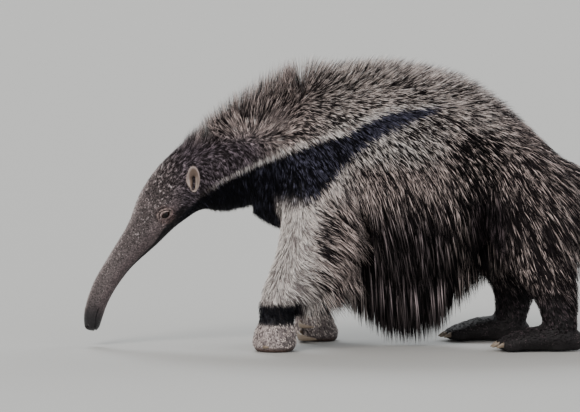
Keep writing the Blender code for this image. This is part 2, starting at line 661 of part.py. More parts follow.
def add_crest(coat, run, first, last):
    """Short upright locks along the top line, leaning back a little more towards the withers."""
    for step, x in enumerate(np.arange(first, last, CREST_STEP)):
        at = float(np.interp(x, run.rows[:, 0], run.knots))
        sign = (-1.0) ** step
        root, up, along = on_surface(run, at, math.radians(5) * sign)
        stand = CREST_STAND * (1.15 - 0.3 * step * CREST_STEP / (last - first))
        lie = along * math.cos(stand) + up * math.sin(stand)
        out = np.array([0.0, sign, 0.0])
        coat.add(root - up * CREST_SINK, out, lie, CREST_LENGTH, CREST_WIDE, CREST_THICK, 0.002, droop=0.004)


def dress_torso(run, torso, neighbours):
    coat = Coat(torso, neighbours, 11)
    table = np.array(TORSO_COAT, float)
    start, end = place_of(run, "neck") + 0.035, place_of(run, "dock") - 0.052
    add_crest(coat, run, run.frame(place_of(run, "neck") + 0.033)[0][0], CREST_X[1])
    for row, at in enumerate(np.linspace(start, end, TORSO_ROWS)):
        narrow = min(1.0, run.frame(at)[0][5] / 0.09)
        arc, wide = TORSO_ARC * narrow, TORSO_LOCK_WIDE * narrow
        for angle in places_around(run, at, arc, table[-1, 0], arc / 2 * (row % 2)):
            degrees = abs(math.degrees(angle))
            slant, length, rise = (np.interp(degrees, table[:, 0], table[:, k]) for k in (1, 2, 3))
            root, out, along = on_surface(run, at, angle)
            ahead = run.point(at + length * TORSO_FOLLOW, angle, 0.0, CORE_SHARE)
            fall = max(0.0, (root + along * length * TORSO_FOLLOW - ahead) @ out) * math.cos(math.radians(slant))
            coat.add(root, out, slanted(along, slant), length, wide, TORSO_LOCK_THICK, rise, droop=fall)
    for x in FRINGE_X:
        at = float(np.interp(x, run.rows[:, 0], run.knots))
        for degrees, length, splay in FRINGE:
            for sign in (-1, 1):
                root, out, along = on_surface(run, at, math.radians(degrees) * sign)
                lie = slanted(along, FRINGE_SLANT, sign * splay)
                coat.add(root, out, lie, length, FRINGE_WIDE, FRINGE_THICK, 0.0)
    return coat.fuse()


def dress_neck(run, neck, neighbours):
    """The mane spreads from a whorl high on the neck: forward before it, up at it and back behind it."""
    coat = Coat(neck, neighbours, 5)
    start, end = place_of(run, "nape") + 0.008, place_of(run, "neck") + 0.006
    for row, at in enumerate(np.linspace(start, end, NECK_ROWS)):
        for angle in places_around(run, at, NECK_ARC, NECK_LAST, NECK_ARC / 2 * (1 + row % 2)):
            root, out, along = on_surface(run, at, angle)
            away = np.array([root[0] - WHORL[0], 0.0, root[2] - WHORL[1]]) * 7.0
            lie = away + along * (0.10 + 0.45 * abs(angle)) + np.array([0, 0, -0.30 * abs(angle)])
            lie = unit(lie - out * (lie @ out))
            coat.add(root, out, lie, NECK_LOCK_LENGTH, NECK_LOCK_WIDE, NECK_LOCK_THICK, NECK_RISE)
    add_crest(coat, run, CREST_X[0], run.frame(place_of(run, "neck") + 0.012)[0][0])
    return coat.fuse()


def dress_leg(leg_run, leg, side, heights, table, neighbours, seed):
    coat = Coat(leg, neighbours, seed)
    for row, z in enumerate(heights):
        at = leg_run.at_height(z)
        for angle, slant, length, rise in table:
            for sign in (SIDES[side],) if angle else (1,):
                turned = math.radians(angle + (12 if row % 2 and angle else 0)) * sign
                root, out, along = on_surface(leg_run, at, turned)
                lie = along + np.array([math.tan(math.radians(slant)), 0.0, 0.0])
                taper = 0.75 + 0.25 * (z - heights[-1]) / (heights[0] - heights[-1])
                coat.add(root, out, lie, length * taper, LEG_LOCK_WIDE * taper, LEG_LOCK_THICK, rise)
    return coat.fuse()


def dress_tail(run, tail, index, neighbours):
    coat = Coat(tail, neighbours, 31 + index)
    start, end = tail_bounds(run, index)
    count = max(2, round((end - start - 0.02) / PLUME_STEP))
    for step, at in enumerate(np.linspace(start + 0.026, end - 0.022, count)):
        values = run.frame(at)[0]
        full = float(np.interp(values[0], (0.54, 0.70, 1.05, 1.25), (0.42, 1.0, 1.0, 0.80)))
        for angle, slant, length, wide, thick in PLUME:
            for sign in ((-1) ** step,) if angle < 90 else (-1, 1):
                layer = 8 * (step % 2)
                root, out, along = on_surface(run, at, math.radians(angle - layer) * sign, TAIL_SHARE)
                lie = slanted(along, slant, sign * (0.12 + 0.10 * (step % 2)))
                coat.add(root, out, lie, length * full, wide, thick, 0.016, droop=0.02 * full)
    if index == len(TAIL_NODES) - 1:
        values, along, _, _ = run.frame(run.knots[-1])
        root = values[:3] + along * 0.004
        for step, (degrees, length) in enumerate(PLUME_TIP):
            way = slanted(along, degrees, 0.10 * (-1) ** step)
            out = unit(np.array([0.0, (-1.0) ** step, 0.05]))
            coat.add(root, out, way, length, PLUME_TIP_WIDE, PLUME_TIP_THICK, 0.006, droop=0.012)
    return coat.fuse()


def flatten_sole(mesh):
    """Cuts off what lies under the floor and closes the sole."""
    plane = {"plane_co": (0, 0, 0), "plane_no": (0, 0, -1), "clear_outer": True}
    cut = bmesh.ops.bisect_plane(mesh, geom=mesh.verts[:] + mesh.edges[:] + mesh.faces[:], **plane)
    edges = [e for e in cut["geom_cut"] if isinstance(e, bmesh.types.BMEdge)]
    bmesh.ops.holes_fill(mesh, edges=edges)
    return mesh


def make_foreleg(run, side):
    leg = Run(side_rows(FORELEG, "fore", side), level=True)
    fist = Run(side_rows(FORE_FIST, "fore", side), level=True)
    mesh = run_mesh(leg, 0.0, leg.knots[-1] - GAP, 9, ROUND_LEG, coat_share=CORE_SHARE)
    body = boolean(add_object(f"foreleg_{side}", mesh, "forearm"), trunk_cutters(run), "DIFFERENCE")
    foot = add_object(f"forefoot_{side}", run_mesh(fist, 0.0, fist.knots[-1], 7, ROUND_LEG), "sole")
    return leg, body, fist, foot


def make_hindleg(run, side):
    leg, stub = (Run(side_rows(t, "hind", side), level=True) for t in (HINDLEG, HIND_STUB))
    sole = Run(side_rows(HIND_SOLE, "hind", side))
    mesh = run_mesh(leg, 0.0, leg.knots[-1] - GAP, 10, ROUND_LEG, coat_share=CORE_SHARE)
    body = boolean(add_object(f"hindleg_{side}", mesh, "hide"), trunk_cutters(run), "DIFFERENCE")
    heel = flatten_sole(run_mesh(stub, 0.0, stub.knots[-1], 4, ROUND_LEG))
    foot = add_object(f"hindfoot_{side}", heel, "sole")
    plate = run_mesh(sole, 0.0, sole.knots[-1], 5, ROUND_LEG, round_start=HEEL_ROUND, round_end=TOE_ROUND)
    toes = [toe_mesh(sole, k) for k in range(HIND_TOES)]
    pads = [add_object("sole", flatten_sole(mesh), "sole") for mesh in (plate, *toes)]
    boolean(foot, pads, "UNION", "MANIFOLD")
    return leg, body, sole, foot


def toe_place(sole, k):
    """Root of a hind toe: across the front of the sole, the middle ones furthest forward."""
    across = (k - (HIND_TOES - 1) / 2) / ((HIND_TOES - 1) / 2)
    values = sole.frame(sole.knots[-1])[0]
    return Vector((values[0] + 0.002 + 0.010 * across**2, values[1] + TOE_SPREAD * across, TOE_Z)), across


def toe_mesh(sole, k):
    root, _ = toe_place(sole, k)
    mesh = bmesh.new()
    bmesh.ops.create_uvsphere(mesh, u_segments=7, v_segments=5, radius=1.0)
    place = Matrix.Translation(root + Vector((-0.004, 0, 0))) @ Matrix.Diagonal((*TOE_RADII, 1.0))
    bmesh.ops.transform(mesh, matrix=place, verts=mesh.verts)
    return mesh


def claw_mesh(root, start, bend, length, thick, sides=5, steps=4):
    """A claw: a tapering horn that leaves its root one way and bends towards another."""
    rings, centre = [], np.array(root, float)
    for k in range(steps + 1):
        t = k / steps
        way = np.array(start, float) * (1 - t) + np.array(bend, float) * t
        way /= np.linalg.norm(way)
        side = np.cross(way, [0, 0, 1])
        side /= np.linalg.norm(side)
        over = np.cross(side, way)
        size = thick * (1 - t) ** 0.75 + 0.0007
        turns = circle(sides)
        rings.append([centre + size * (0.62 * math.cos(a) * side + math.sin(a) * over) for a in turns])
        centre = centre + way * length / steps
    return loft(rings)


def make_fore_claws(side, fist, foot):
    sign = SIDES[side]
    for claw in FORE_CLAWS:
        middle = fist.frame(fist.at_height(claw.z))[0]
        root = (middle[0] - claw.forward, middle[1] - sign * claw.inward, claw.z)
        inner = -sign if claw.inward > 0 else sign
        start, bend = (-0.35, inner * 1.0, -0.05), (1.0, inner * 0.10, -0.04)
        mesh = claw_mesh(root, start, bend, claw.length, claw.thick)
        obj = add_object(f"foreclaw_{side}_{claw.digit}", mesh, "claw")
        boolean(obj, [grown_copy(foot)], "DIFFERENCE")


def make_hind_claws(side, sole, foot):
    for k in range(HIND_TOES):
        root, across = toe_place(sole, k)
        start, bend = (-1, 0.15 * across, 0.02), (-0.8, 0.1 * across, -0.55)
        root += Vector((-HIND_CLAW_AHEAD, 0, 0.001))
        mesh = claw_mesh(root, start, bend, HIND_CLAW_LENGTH, HIND_CLAW_THICK)
        obj = add_object(f"hindclaw_{side}_{k + 1}", mesh, "claw")
        boolean(obj, [grown_copy(foot)], "DIFFERENCE")


def grown_copy(obj):
    """A copy of a closed object, swollen by the gap along its normals."""
    mesh = bmesh.new()
    mesh.from_mesh(obj.data)
    bmesh.ops.triangulate(mesh, faces=mesh.faces)
    mesh.normal_update()
    for vert in mesh.verts:
        vert.co += vert.normal * GAP * 1.4
    return add_object("grown", mesh, "hide")


def stand_on_origin():
    """Moves the whole animal so that the middle of its base is at the origin."""
    bpy.context.view_layer.update()
    solids = [o for o in bpy.data.objects if o.type == "MESH"]
    corners = np.array([o.matrix_world @ v.co for o in solids for v in o.data.vertices])
    low, high = corners.min(axis=0), corners.max(axis=0)
    shift = Vector((-(low[0] + high[0]) / 2, -(low[1] + high[1]) / 2, 0.0))
    for obj in solids:
        obj.location += shift


def main():
    clear_scene()
    spine = spine_run()
    head = make_head(spine)
    make_eyes(spine)
    ears = make_ears(spine)
    neck = add_object("neck", neck_mesh(spine), "hide")
    torso = add_object("torso", torso_mesh(spine), "hide")
    tails = [add_object(name, tail_mesh(spine, k), "tail") for k, name in enumerate(TAIL_NODES)]
    fore = {side: make_foreleg(spine, side) for side in SIDES}
    hind = {side: make_hindleg(spine, side) for side in SIDES}
    for side in SIDES:
        make_fore_claws(side, *fore[side][2:])
        make_hind_claws(side, *hind[side][2:])
    legs = [made[1] for made in (*fore.values(), *hind.values())]
    feet = [made[3] for made in (*fore.values(), *hind.values())]
    dress_neck(spine, neck, [head, *ears, torso, *legs])
    dress_torso(spine, torso, [neck, *legs, *feet, *tails])
    for seed, side in enumerate(SIDES):
        leg_run, leg, _, foot = fore[side]
        dress_leg(leg_run, leg, side, FORE_HEIGHTS, FORE_COAT, [torso, neck, foot], 17 + seed)
        leg_run, leg, _, foot = hind[side]
        dress_leg(leg_run, leg, side, HIND_HEIGHTS, HIND_COAT, [torso, tails[0], *feet], 23 + seed)
    for k, tail in enumerate(tails):
        dress_tail(spine, tail, k, [torso, *legs, *feet, *(t for t in tails if t is not tail)])
    stand_on_origin()


main()
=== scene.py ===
"""Dresses the walking giant anteater: one skin, a coat of tufts, eyes, ears and claws, in a studio."""

import logging
import math
from dataclasses import dataclass, field
from enum import Enum
from typing import Callable, Sequence

import bmesh
import bpy
import numpy as np
from mathutils import Matrix, Vector
from mathutils.kdtree import KDTree


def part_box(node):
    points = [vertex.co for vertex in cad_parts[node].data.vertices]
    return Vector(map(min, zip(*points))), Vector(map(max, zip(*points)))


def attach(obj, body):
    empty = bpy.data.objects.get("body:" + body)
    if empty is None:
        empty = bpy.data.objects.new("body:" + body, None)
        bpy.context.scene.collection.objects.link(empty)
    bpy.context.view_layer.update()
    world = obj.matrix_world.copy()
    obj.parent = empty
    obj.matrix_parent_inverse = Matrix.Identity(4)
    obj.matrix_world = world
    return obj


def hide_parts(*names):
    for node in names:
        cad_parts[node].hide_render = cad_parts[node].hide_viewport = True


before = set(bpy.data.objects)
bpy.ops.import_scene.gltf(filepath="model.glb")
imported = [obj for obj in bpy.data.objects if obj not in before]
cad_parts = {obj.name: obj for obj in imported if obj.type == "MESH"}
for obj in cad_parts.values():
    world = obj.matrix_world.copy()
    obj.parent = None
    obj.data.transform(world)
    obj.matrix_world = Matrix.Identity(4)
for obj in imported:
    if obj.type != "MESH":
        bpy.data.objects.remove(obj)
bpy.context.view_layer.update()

Array = np.ndarray
Line = tuple[tuple[float, ...], ...]
LOG = logging.getLogger("anteater")
SIDES: dict[str, int] = {"left": -1, "right": 1}
DOWN = np.array([0.0, 0.0, -1.0])


class Tone(Enum):
    """Colours of the animal in sRGB."""

    BLACK_BLUE = "#16161e"
    # Pale strands of the black stripe, painted sheen of its glossy hair.
    BLUE_GREY = "#4d4d5e"
    BLACK_BROWN = "#1b181a"
    DARK_BROWN = "#2d272a"
    BROWN = "#50464a"
    GREY_BROWN = "#7b7072"
    ASH = "#aba09f"
    TAN = "#bfafaa"
    CREAM = "#e6d9d3"
    BONE = "#f6efea"
    SALT = "#8f828b"
    FACE = "#221a1b"
    FACE_PALE = "#c3b5b5"
    # Paler lid skin, with painted highlight on the raised lid rims and upper fold.
    LID_PALE_AND_HIGHLIGHT = "#b3a29c"
    FACE_WARM = "#6e5a57"
    # The nose's own colour, also laid as painted shade in creases, nostrils and the mouth line.
    NOSE_AND_CREASE_SHADE = "#1f1d1f"
    PAD = "#5c4a44"
    EAR_INSIDE = "#806d62"
    EAR_RIDGE = "#b5a59a"
    # Painted shade in the slit that leads into the ear.
    EAR_SLIT = "#1c1210"
    IRIS = "#170c07"
    PUPIL = "#050404"
    HORN = "#4a4038"
    HORN_PALE = "#8d7d6b"
    FLOOR = "#aaaaa8"
    BACKDROP = "#fffffd"


def linear(colour: Tone | str) -> Array:
    """Turns a colour in sRGB hex into linear light.

    Args:
        colour: a tone, or a string such as "#a08f82".

    Returns:
        Three linear values from 0 to 1.
    """
    text = (colour.value if isinstance(colour, Tone) else colour).lstrip("#")
    parts = np.array([int(text[i : i + 2], 16) for i in (0, 2, 4)]) / 255.0
    return np.where(parts <= 0.04045, parts / 12.92, ((parts + 0.055) / 1.055) ** 2.4)


def ramp(low: float, high: float, value: Array) -> Array:
    """Eases from 0 at low to 1 at high.

    Args:
        low: where the ease starts. It may be above high, which turns the ease round.
        high: where it ends.
        value: the places to read it at.

    Returns:
        Values from 0 to 1.
    """
    t = np.clip((value - low) / (high - low), 0.0, 1.0)
    return t * t * (3 - 2 * t)


def unit(vectors: Array) -> Array:
    """Scales vectors to length 1.

    Args:
        vectors: one vector, or rows of them.

    Returns:
        The same directions with length 1.
    """
    return vectors / np.maximum(np.linalg.norm(vectors, axis=-1, keepdims=True), 1e-9)


def dot(a: Array, b: Array) -> Array:
    """Row by row dot products.

    Args:
        a: rows of vectors.
        b: rows of vectors, or one vector.

    Returns:
        One value for each row.
    """
    return (a * b).sum(axis=-1)


def bump_at(value: Array, centre: float, wide: float) -> Array:
    """A smooth bump.

    Args:
        value: where it is read.
        centre: where it is 1.
        wide: how far from there it falls to a third.

    Returns:
        Values from 0 to 1.
    """
    return np.exp(-(((value - centre) / wide) ** 2))


def mix(a: Array, b: Array, share: Array) -> Array:
    """Blends rows of colours or vectors.

    Args:
        a: the rows at share 0.
        b: the rows at share 1.
        share: one share for each row.

    Returns:
        The blended rows.
    """
    return a + (b - a) * np.asarray(share)[..., None]


def mix_values(a: Array, b: Array, share: Array) -> Array:
    """Blends plain values.

    Args:
        a: the values at share 0.
        b: the values at share 1.
        share: the shares.

    Returns:
        The blend.
    """
    return a + (b - a) * share


def read_line(line: Line, x: Array, column: int = 1) -> Array:
    """Reads a line given by its points.

    Args:
        line: rows of x and one or more values, with rising x.
        x: where it is read.
        column: which value is read.

    Returns:
        One value for each place.
    """
    table = np.transpose(line)
    return np.interp(x, table[0], table[column])


def smooth_through(knots: Array, values: Array, at: Array) -> Array:
    """Reads cubic curves through values at knots.

    Args:
        knots: rising places.
        values: one row of values for each knot.
        at: the places to read.

    Returns:
        One row for each place.
    """
    slopes = np.gradient(values, knots, axis=0)
    i = np.clip(np.searchsorted(knots, at) - 1, 0, len(knots) - 2)
    step = (knots[i + 1] - knots[i])[:, None]
    t = ((at - knots[i]) / step[:, 0])[:, None]
    return (
        (2 * t**3 - 3 * t**2 + 1) * values[i]
        + (t**3 - 2 * t**2 + t) * step * slopes[i]
        + (3 * t**2 - 2 * t**3) * values[i + 1]
        + (t**3 - t**2) * step * slopes[i + 1]
    )


@dataclass(frozen=True)
class Section:
    """A cross-section of the hide, in metres.

    up and down are the half depths above and below the centre, wide the half width. crest, side and belly
    are how long the hair is at the top, the flank and the underside.
    """

    name: str
    x: float
    z: float
    up: float
    down: float
    wide: float
    crest: float
    side: float
    belly: float


SPINE: tuple[Section, ...] = (
    Section("nose", -0.4005, 0.0420, 0.0160, 0.0160, 0.0160, 0.0010, 0.0010, 0.0010),
    Section("nostril", -0.3985, 0.0560, 0.0182, 0.0182, 0.0176, 0.0022, 0.0022, 0.0018),
    Section("muzzle", -0.3918, 0.0800, 0.0198, 0.0192, 0.0186, 0.0030, 0.0028, 0.0026),
    Section("snout", -0.3805, 0.1077, 0.0212, 0.0208, 0.0196, 0.0036, 0.0034, 0.0030),
    Section("bridge", -0.3466, 0.1615, 0.0242, 0.0238, 0.0230, 0.0044, 0.0040, 0.0036),
    Section("cheek", -0.2997, 0.2192, 0.0352, 0.0342, 0.0305, 0.0056, 0.0048, 0.0046),
    Section("eye", -0.2615, 0.2740, 0.0500, 0.0490, 0.0410, 0.0080, 0.0058, 0.0066),
    Section("ear", -0.2150, 0.3170, 0.0590, 0.0600, 0.0490, 0.0200, 0.0100, 0.0100),
    Section("nape", -0.1580, 0.3420, 0.0650, 0.0760, 0.0580, 0.0480, 0.0180, 0.0150),
    Section("neck", -0.0930, 0.3620, 0.0920, 0.0890, 0.0720, 0.0600, 0.0240, 0.0180),
    Section("withers", -0.0190, 0.3500, 0.1530, 0.1180, 0.0940, 0.0500, 0.0290, 0.0240),
    Section("chest", 0.0700, 0.3450, 0.1700, 0.1350, 0.1060, 0.0380, 0.0320, 0.1000),
    Section("back", 0.1630, 0.3450, 0.1780, 0.1300, 0.1140, 0.0360, 0.0370, 0.1550),
    Section("loin", 0.2700, 0.3430, 0.1600, 0.1200, 0.1110, 0.0370, 0.0410, 0.1450),
    Section("rump", 0.3750, 0.3250, 0.1130, 0.1080, 0.0980, 0.0410, 0.0450, 0.0800),
    Section("hip", 0.4650, 0.3020, 0.0700, 0.0840, 0.0720, 0.0560, 0.0580, 0.0650),
    Section("dock", 0.5450, 0.2900, 0.0400, 0.0480, 0.0380, 0.0800, 0.0850, 0.1000),
    Section("tail_upper", 0.6900, 0.2880, 0.0270, 0.0300, 0.0230, 0.1300, 0.1700, 0.2350),
    Section("tail_mid", 0.8800, 0.2930, 0.0200, 0.0220, 0.0170, 0.1350, 0.1800, 0.2450),
    Section("tail_lower", 1.0600, 0.2980, 0.0140, 0.0150, 0.0125, 0.1350, 0.1750, 0.2400),
    Section("tail_tip", 1.2000, 0.2930, 0.0080, 0.0080, 0.0080, 0.1500, 0.1700, 0.2050),
)


@dataclass(frozen=True)
class LegSection:
    """A cross-section of a leg or foot: half depths to the back and front, half width, and length of hair."""

    x: float
    y: float
    z: float
    back: float
    front: float
    side: float
    hair: float


FORELEG: tuple[LegSection, ...] = (
    LegSection(0.020, 0.052, 0.400, 0.055, 0.050, 0.030, 0.028),
    LegSection(0.026, 0.074, 0.330, 0.070, 0.062, 0.045, 0.026),
    LegSection(0.028, 0.088, 0.270, 0.076, 0.058, 0.052, 0.026),
    LegSection(0.024, 0.096, 0.215, 0.072, 0.060, 0.050, 0.026),
    LegSection(0.006, 0.100, 0.165, 0.060, 0.055, 0.045, 0.026),
    LegSection(-0.020, 0.102, 0.117, 0.046, 0.047, 0.039, 0.022),
    LegSection(-0.037, 0.103, 0.085, 0.036, 0.038, 0.034, 0.016),
    LegSection(-0.044, 0.103, 0.056, 0.031, 0.033, 0.032, 0.011),
    LegSection(-0.046, 0.104, 0.040, 0.036, 0.038, 0.037, 0.009),
    LegSection(-0.048, 0.105, 0.018, 0.041, 0.042, 0.041, 0.006),
    LegSection(-0.048, 0.105, 0.004, 0.037, 0.038, 0.037, 0.003),
    LegSection(-0.048, 0.105, 0.000, 0.034, 0.034, 0.033, 0.002),
)
HINDLEG: tuple[LegSection, ...] = (
    LegSection(0.400, 0.050, 0.390, 0.032, 0.060, 0.026, 0.045),
    LegSection(0.420, 0.070, 0.320, 0.080, 0.085, 0.046, 0.048),
    LegSection(0.432, 0.084, 0.260, 0.082, 0.082, 0.053, 0.048),
    LegSection(0.438, 0.092, 0.200, 0.066, 0.068, 0.048, 0.042),
    LegSection(0.456, 0.097, 0.140, 0.046, 0.050, 0.040, 0.030),
    LegSection(0.472, 0.099, 0.095, 0.034, 0.038, 0.033, 0.018),
    LegSection(0.478, 0.100, 0.056, 0.030, 0.034, 0.031, 0.010),
    LegSection(0.474, 0.100, 0.020, 0.030, 0.036, 0.031, 0.004),
    LegSection(0.470, 0.100, 0.003, 0.026, 0.032, 0.028, 0.002),
)
HIND_SOLE: tuple[LegSection, ...] = (
    LegSection(0.512, 0.101, 0.020, 0.0195, 0.014, 0.018, 0.003),
    LegSection(0.490, 0.101, 0.024, 0.0235, 0.022, 0.030, 0.003),
    LegSection(0.450, 0.101, 0.024, 0.0235, 0.025, 0.034, 0.004),
    LegSection(0.405, 0.102, 0.020, 0.0195, 0.020, 0.038, 0.004),
    LegSection(0.375, 0.102, 0.016, 0.0155, 0.013, 0.037, 0.003),
)
STRIDE: dict[tuple[str, str], float] = {
    ("fore", "left"): 0.0,
    ("fore", "right"): 0.085,
    ("hind", "left"): 0.02,
    ("hind", "right"): -0.075,
}
# Legs swing from the height of the shoulder, the eye lies along and below the spine's section at the eye, and
# the hair of the neck fans out from the whorl.
SHOULDER_Z = 0.34
EYE_ALONG, EYE_BELOW, EYE_RADIUS, EYE_STANDS_OUT = -0.0114, 0.0147, 0.0095, 0.0040
EYE_TURN = math.radians(-18)
WHORL = np.array([-0.096, 0.0, 0.415])
TOES = 5
# Where the coat of the head and of the mane end in x, and how far down from the crest the mane reaches.
HEAD_END, MANE_END, MANE_ANGLE = -0.19, -0.03, 0.75


# Rows of x, how steeply the hair of the crest stands in degrees, and how many times its usual length it has.
TOP_HAIR: Line = (
    (-0.26, 18, 1.00),
    (-0.22, 50, 1.30),
    (-0.19, 66, 0.95),
    (-0.15, 72, 0.88),
    (-0.12, 70, 1.00),
    (-0.09, 68, 1.20),
    (-0.06, 68, 1.50),
    (-0.03, 66, 1.62),
    (0.00, 62, 1.32),
    (0.04, 60, 1.32),
    (0.10, 58, 1.46),
    (0.20, 56, 1.38),
    (0.30, 52, 1.30),
    (0.375, 44, 1.12),
    (0.42, 30, 0.90),
    (0.48, 22, 0.80),
    (0.60, 14, 1.00),
)
# Rows of x and how steeply the hair of the sides stands in degrees.
SIDE_HAIR: Line = (
    (-0.36, 15),
    (-0.20, 36),
    (-0.05, 36),
    (0.05, 34),
    (0.30, 34),
    (0.42, 24),
    (0.50, 16),
    (0.62, 12),
)
STAND, GAIN = 1, 2


class Run:
    """A body or a leg as cross-sections along a smooth centre line, read by the distance along it."""

    def __init__(
        self, rows: Sequence[Sequence[float]], sharp: tuple[float, float] = (2.0, 2.0), level: bool = False
    ) -> None:
        """Keeps the rows and measures the distance along them.

        Args:
            rows: x, y, z, half depth over and under, half width, and any more values to carry.
            sharp: the exponents of the upper and lower half of each section, where 2 is an ellipse.
            level: whether the sections are level rather than square to the centre line.
        """
        self.rows = np.array(rows, float)
        steps = np.linalg.norm(np.diff(self.rows[:, :3], axis=0), axis=1)
        self.knots = np.concatenate([[0.0], np.cumsum(steps)])
        self.sharp, self.level = sharp, level
        self.table_at = np.linspace(0.0, self.knots[-1], 400)
        self.table = smooth_through(self.knots, self.rows, self.table_at)

    @property
    def length(self) -> float:
        """The length of the centre line.

        Returns:
            Metres from the first knot to the last.
        """
        return float(self.knots[-1])

    def read(self, at: Array) -> tuple[Array, Array, Array, Array]:
        """Reads the run at some distances.

        Args:
            at: distances along the run.

        Returns:
            The rows of values, the directions along the run, and the depth and side axes.
        """
        at = np.atleast_1d(np.asarray(at, float))
        values = smooth_through(self.knots, self.rows, at)
        if self.level:
            along = np.tile(DOWN, (len(at), 1))
        else:
            ahead = smooth_through(self.knots, self.rows, at + 0.001)
            behind = smooth_through(self.knots, self.rows, at - 0.001)
            along = unit(ahead[:, :3] - behind[:, :3])
        side = np.tile([0.0, 1.0, 0.0], (len(at), 1))
        side = unit(side - along * dot(along, side)[:, None])
        return values, along, np.cross(along, side), side

    def at_height(self, z: Array) -> Array:
        """The distance along a run that goes down at which it reaches some heights.

        Args:
            z: the heights.

        Returns:
            The distances.
        """
        return np.interp(-np.asarray(z), -self.table[:, 2], self.table_at)

    def rings(self, at: Array, around: int) -> Array:
        """Rings of points on the surface.

        Args:
            at: distances along the run.
            around: points in each ring.

        Returns:
            Points by ring and place round it.
        """
        values, _, depth, side = self.read(at)
        angles = np.arange(around) * 2 * math.pi / around
        cosine, sine = np.cos(angles), np.sin(angles)
        power = np.where(cosine > 0, 2.0 / self.sharp[0], 2.0 / self.sharp[1])
        reach = np.where(cosine > 0, values[:, 3:4], values[:, 4:5])
        a = np.sign(cosine) * np.abs(cosine) ** power * reach
        b = np.sign(sine) * np.abs(sine) ** power * values[:, 5:6]
        return values[:, None, :3] + a[..., None] * depth[:, None] + b[..., None] * side[:, None]

    def loft(self, count: int, around: int, start: float = 0.0, end: float = 0.0) -> bmesh.types.BMesh:
        """A closed mesh over the whole run, with its ends rounded off over the given lengths.

        Args:
            count: rings along it.
            around: points in each ring.
            start: length of the rounded start.
            end: length of the rounded end.

        Returns:
            The mesh.
        """
        rings = list(self.rings(np.linspace(0, self.length, count), around))
        values, along, _, _ = self.read([0.0, self.length])
        if start:
            rings = self._cap(rings[0], values[0, :3], -along[0] * start)[::-1] + rings
        if end:
            rings += self._cap(rings[-1], values[1, :3], along[1] * end)
        return closed_rings(rings)

    @staticmethod
    def _cap(ring: Array, centre: Array, reach: Array) -> list[Array]:
        """Rings that round off an end of a run.

        Args:
            ring: the last ring before the end.
            centre: its middle.
            reach: how far and which way the rounded end goes.

        Returns:
            The rings, from the given one outwards.
        """
        turns = np.radians([20, 38, 54, 68, 80])
        return [centre + (ring - centre) * math.cos(t) + reach * math.sin(t) for t in turns]


def closed_rings(rings: Sequence[Array]) -> bmesh.types.BMesh:
    """A closed mesh through rings of equal length.

    Args:
        rings: the rings, each an array of points.

    Returns:
        The mesh, with its faces pointing out.
    """
    mesh = bmesh.new()
    rows = [[mesh.verts.new(p) for p in ring] for ring in rings]
    for first, second in zip(rows, rows[1:]):
        for j in range(len(first)):
            k = (j + 1) % len(first)
            mesh.faces.new((first[j], second[j], second[k], first[k]))
    mesh.faces.new(rows[0])
    mesh.faces.new(reversed(rows[-1]))
    bmesh.ops.recalc_face_normals(mesh, faces=mesh.faces)
    return mesh


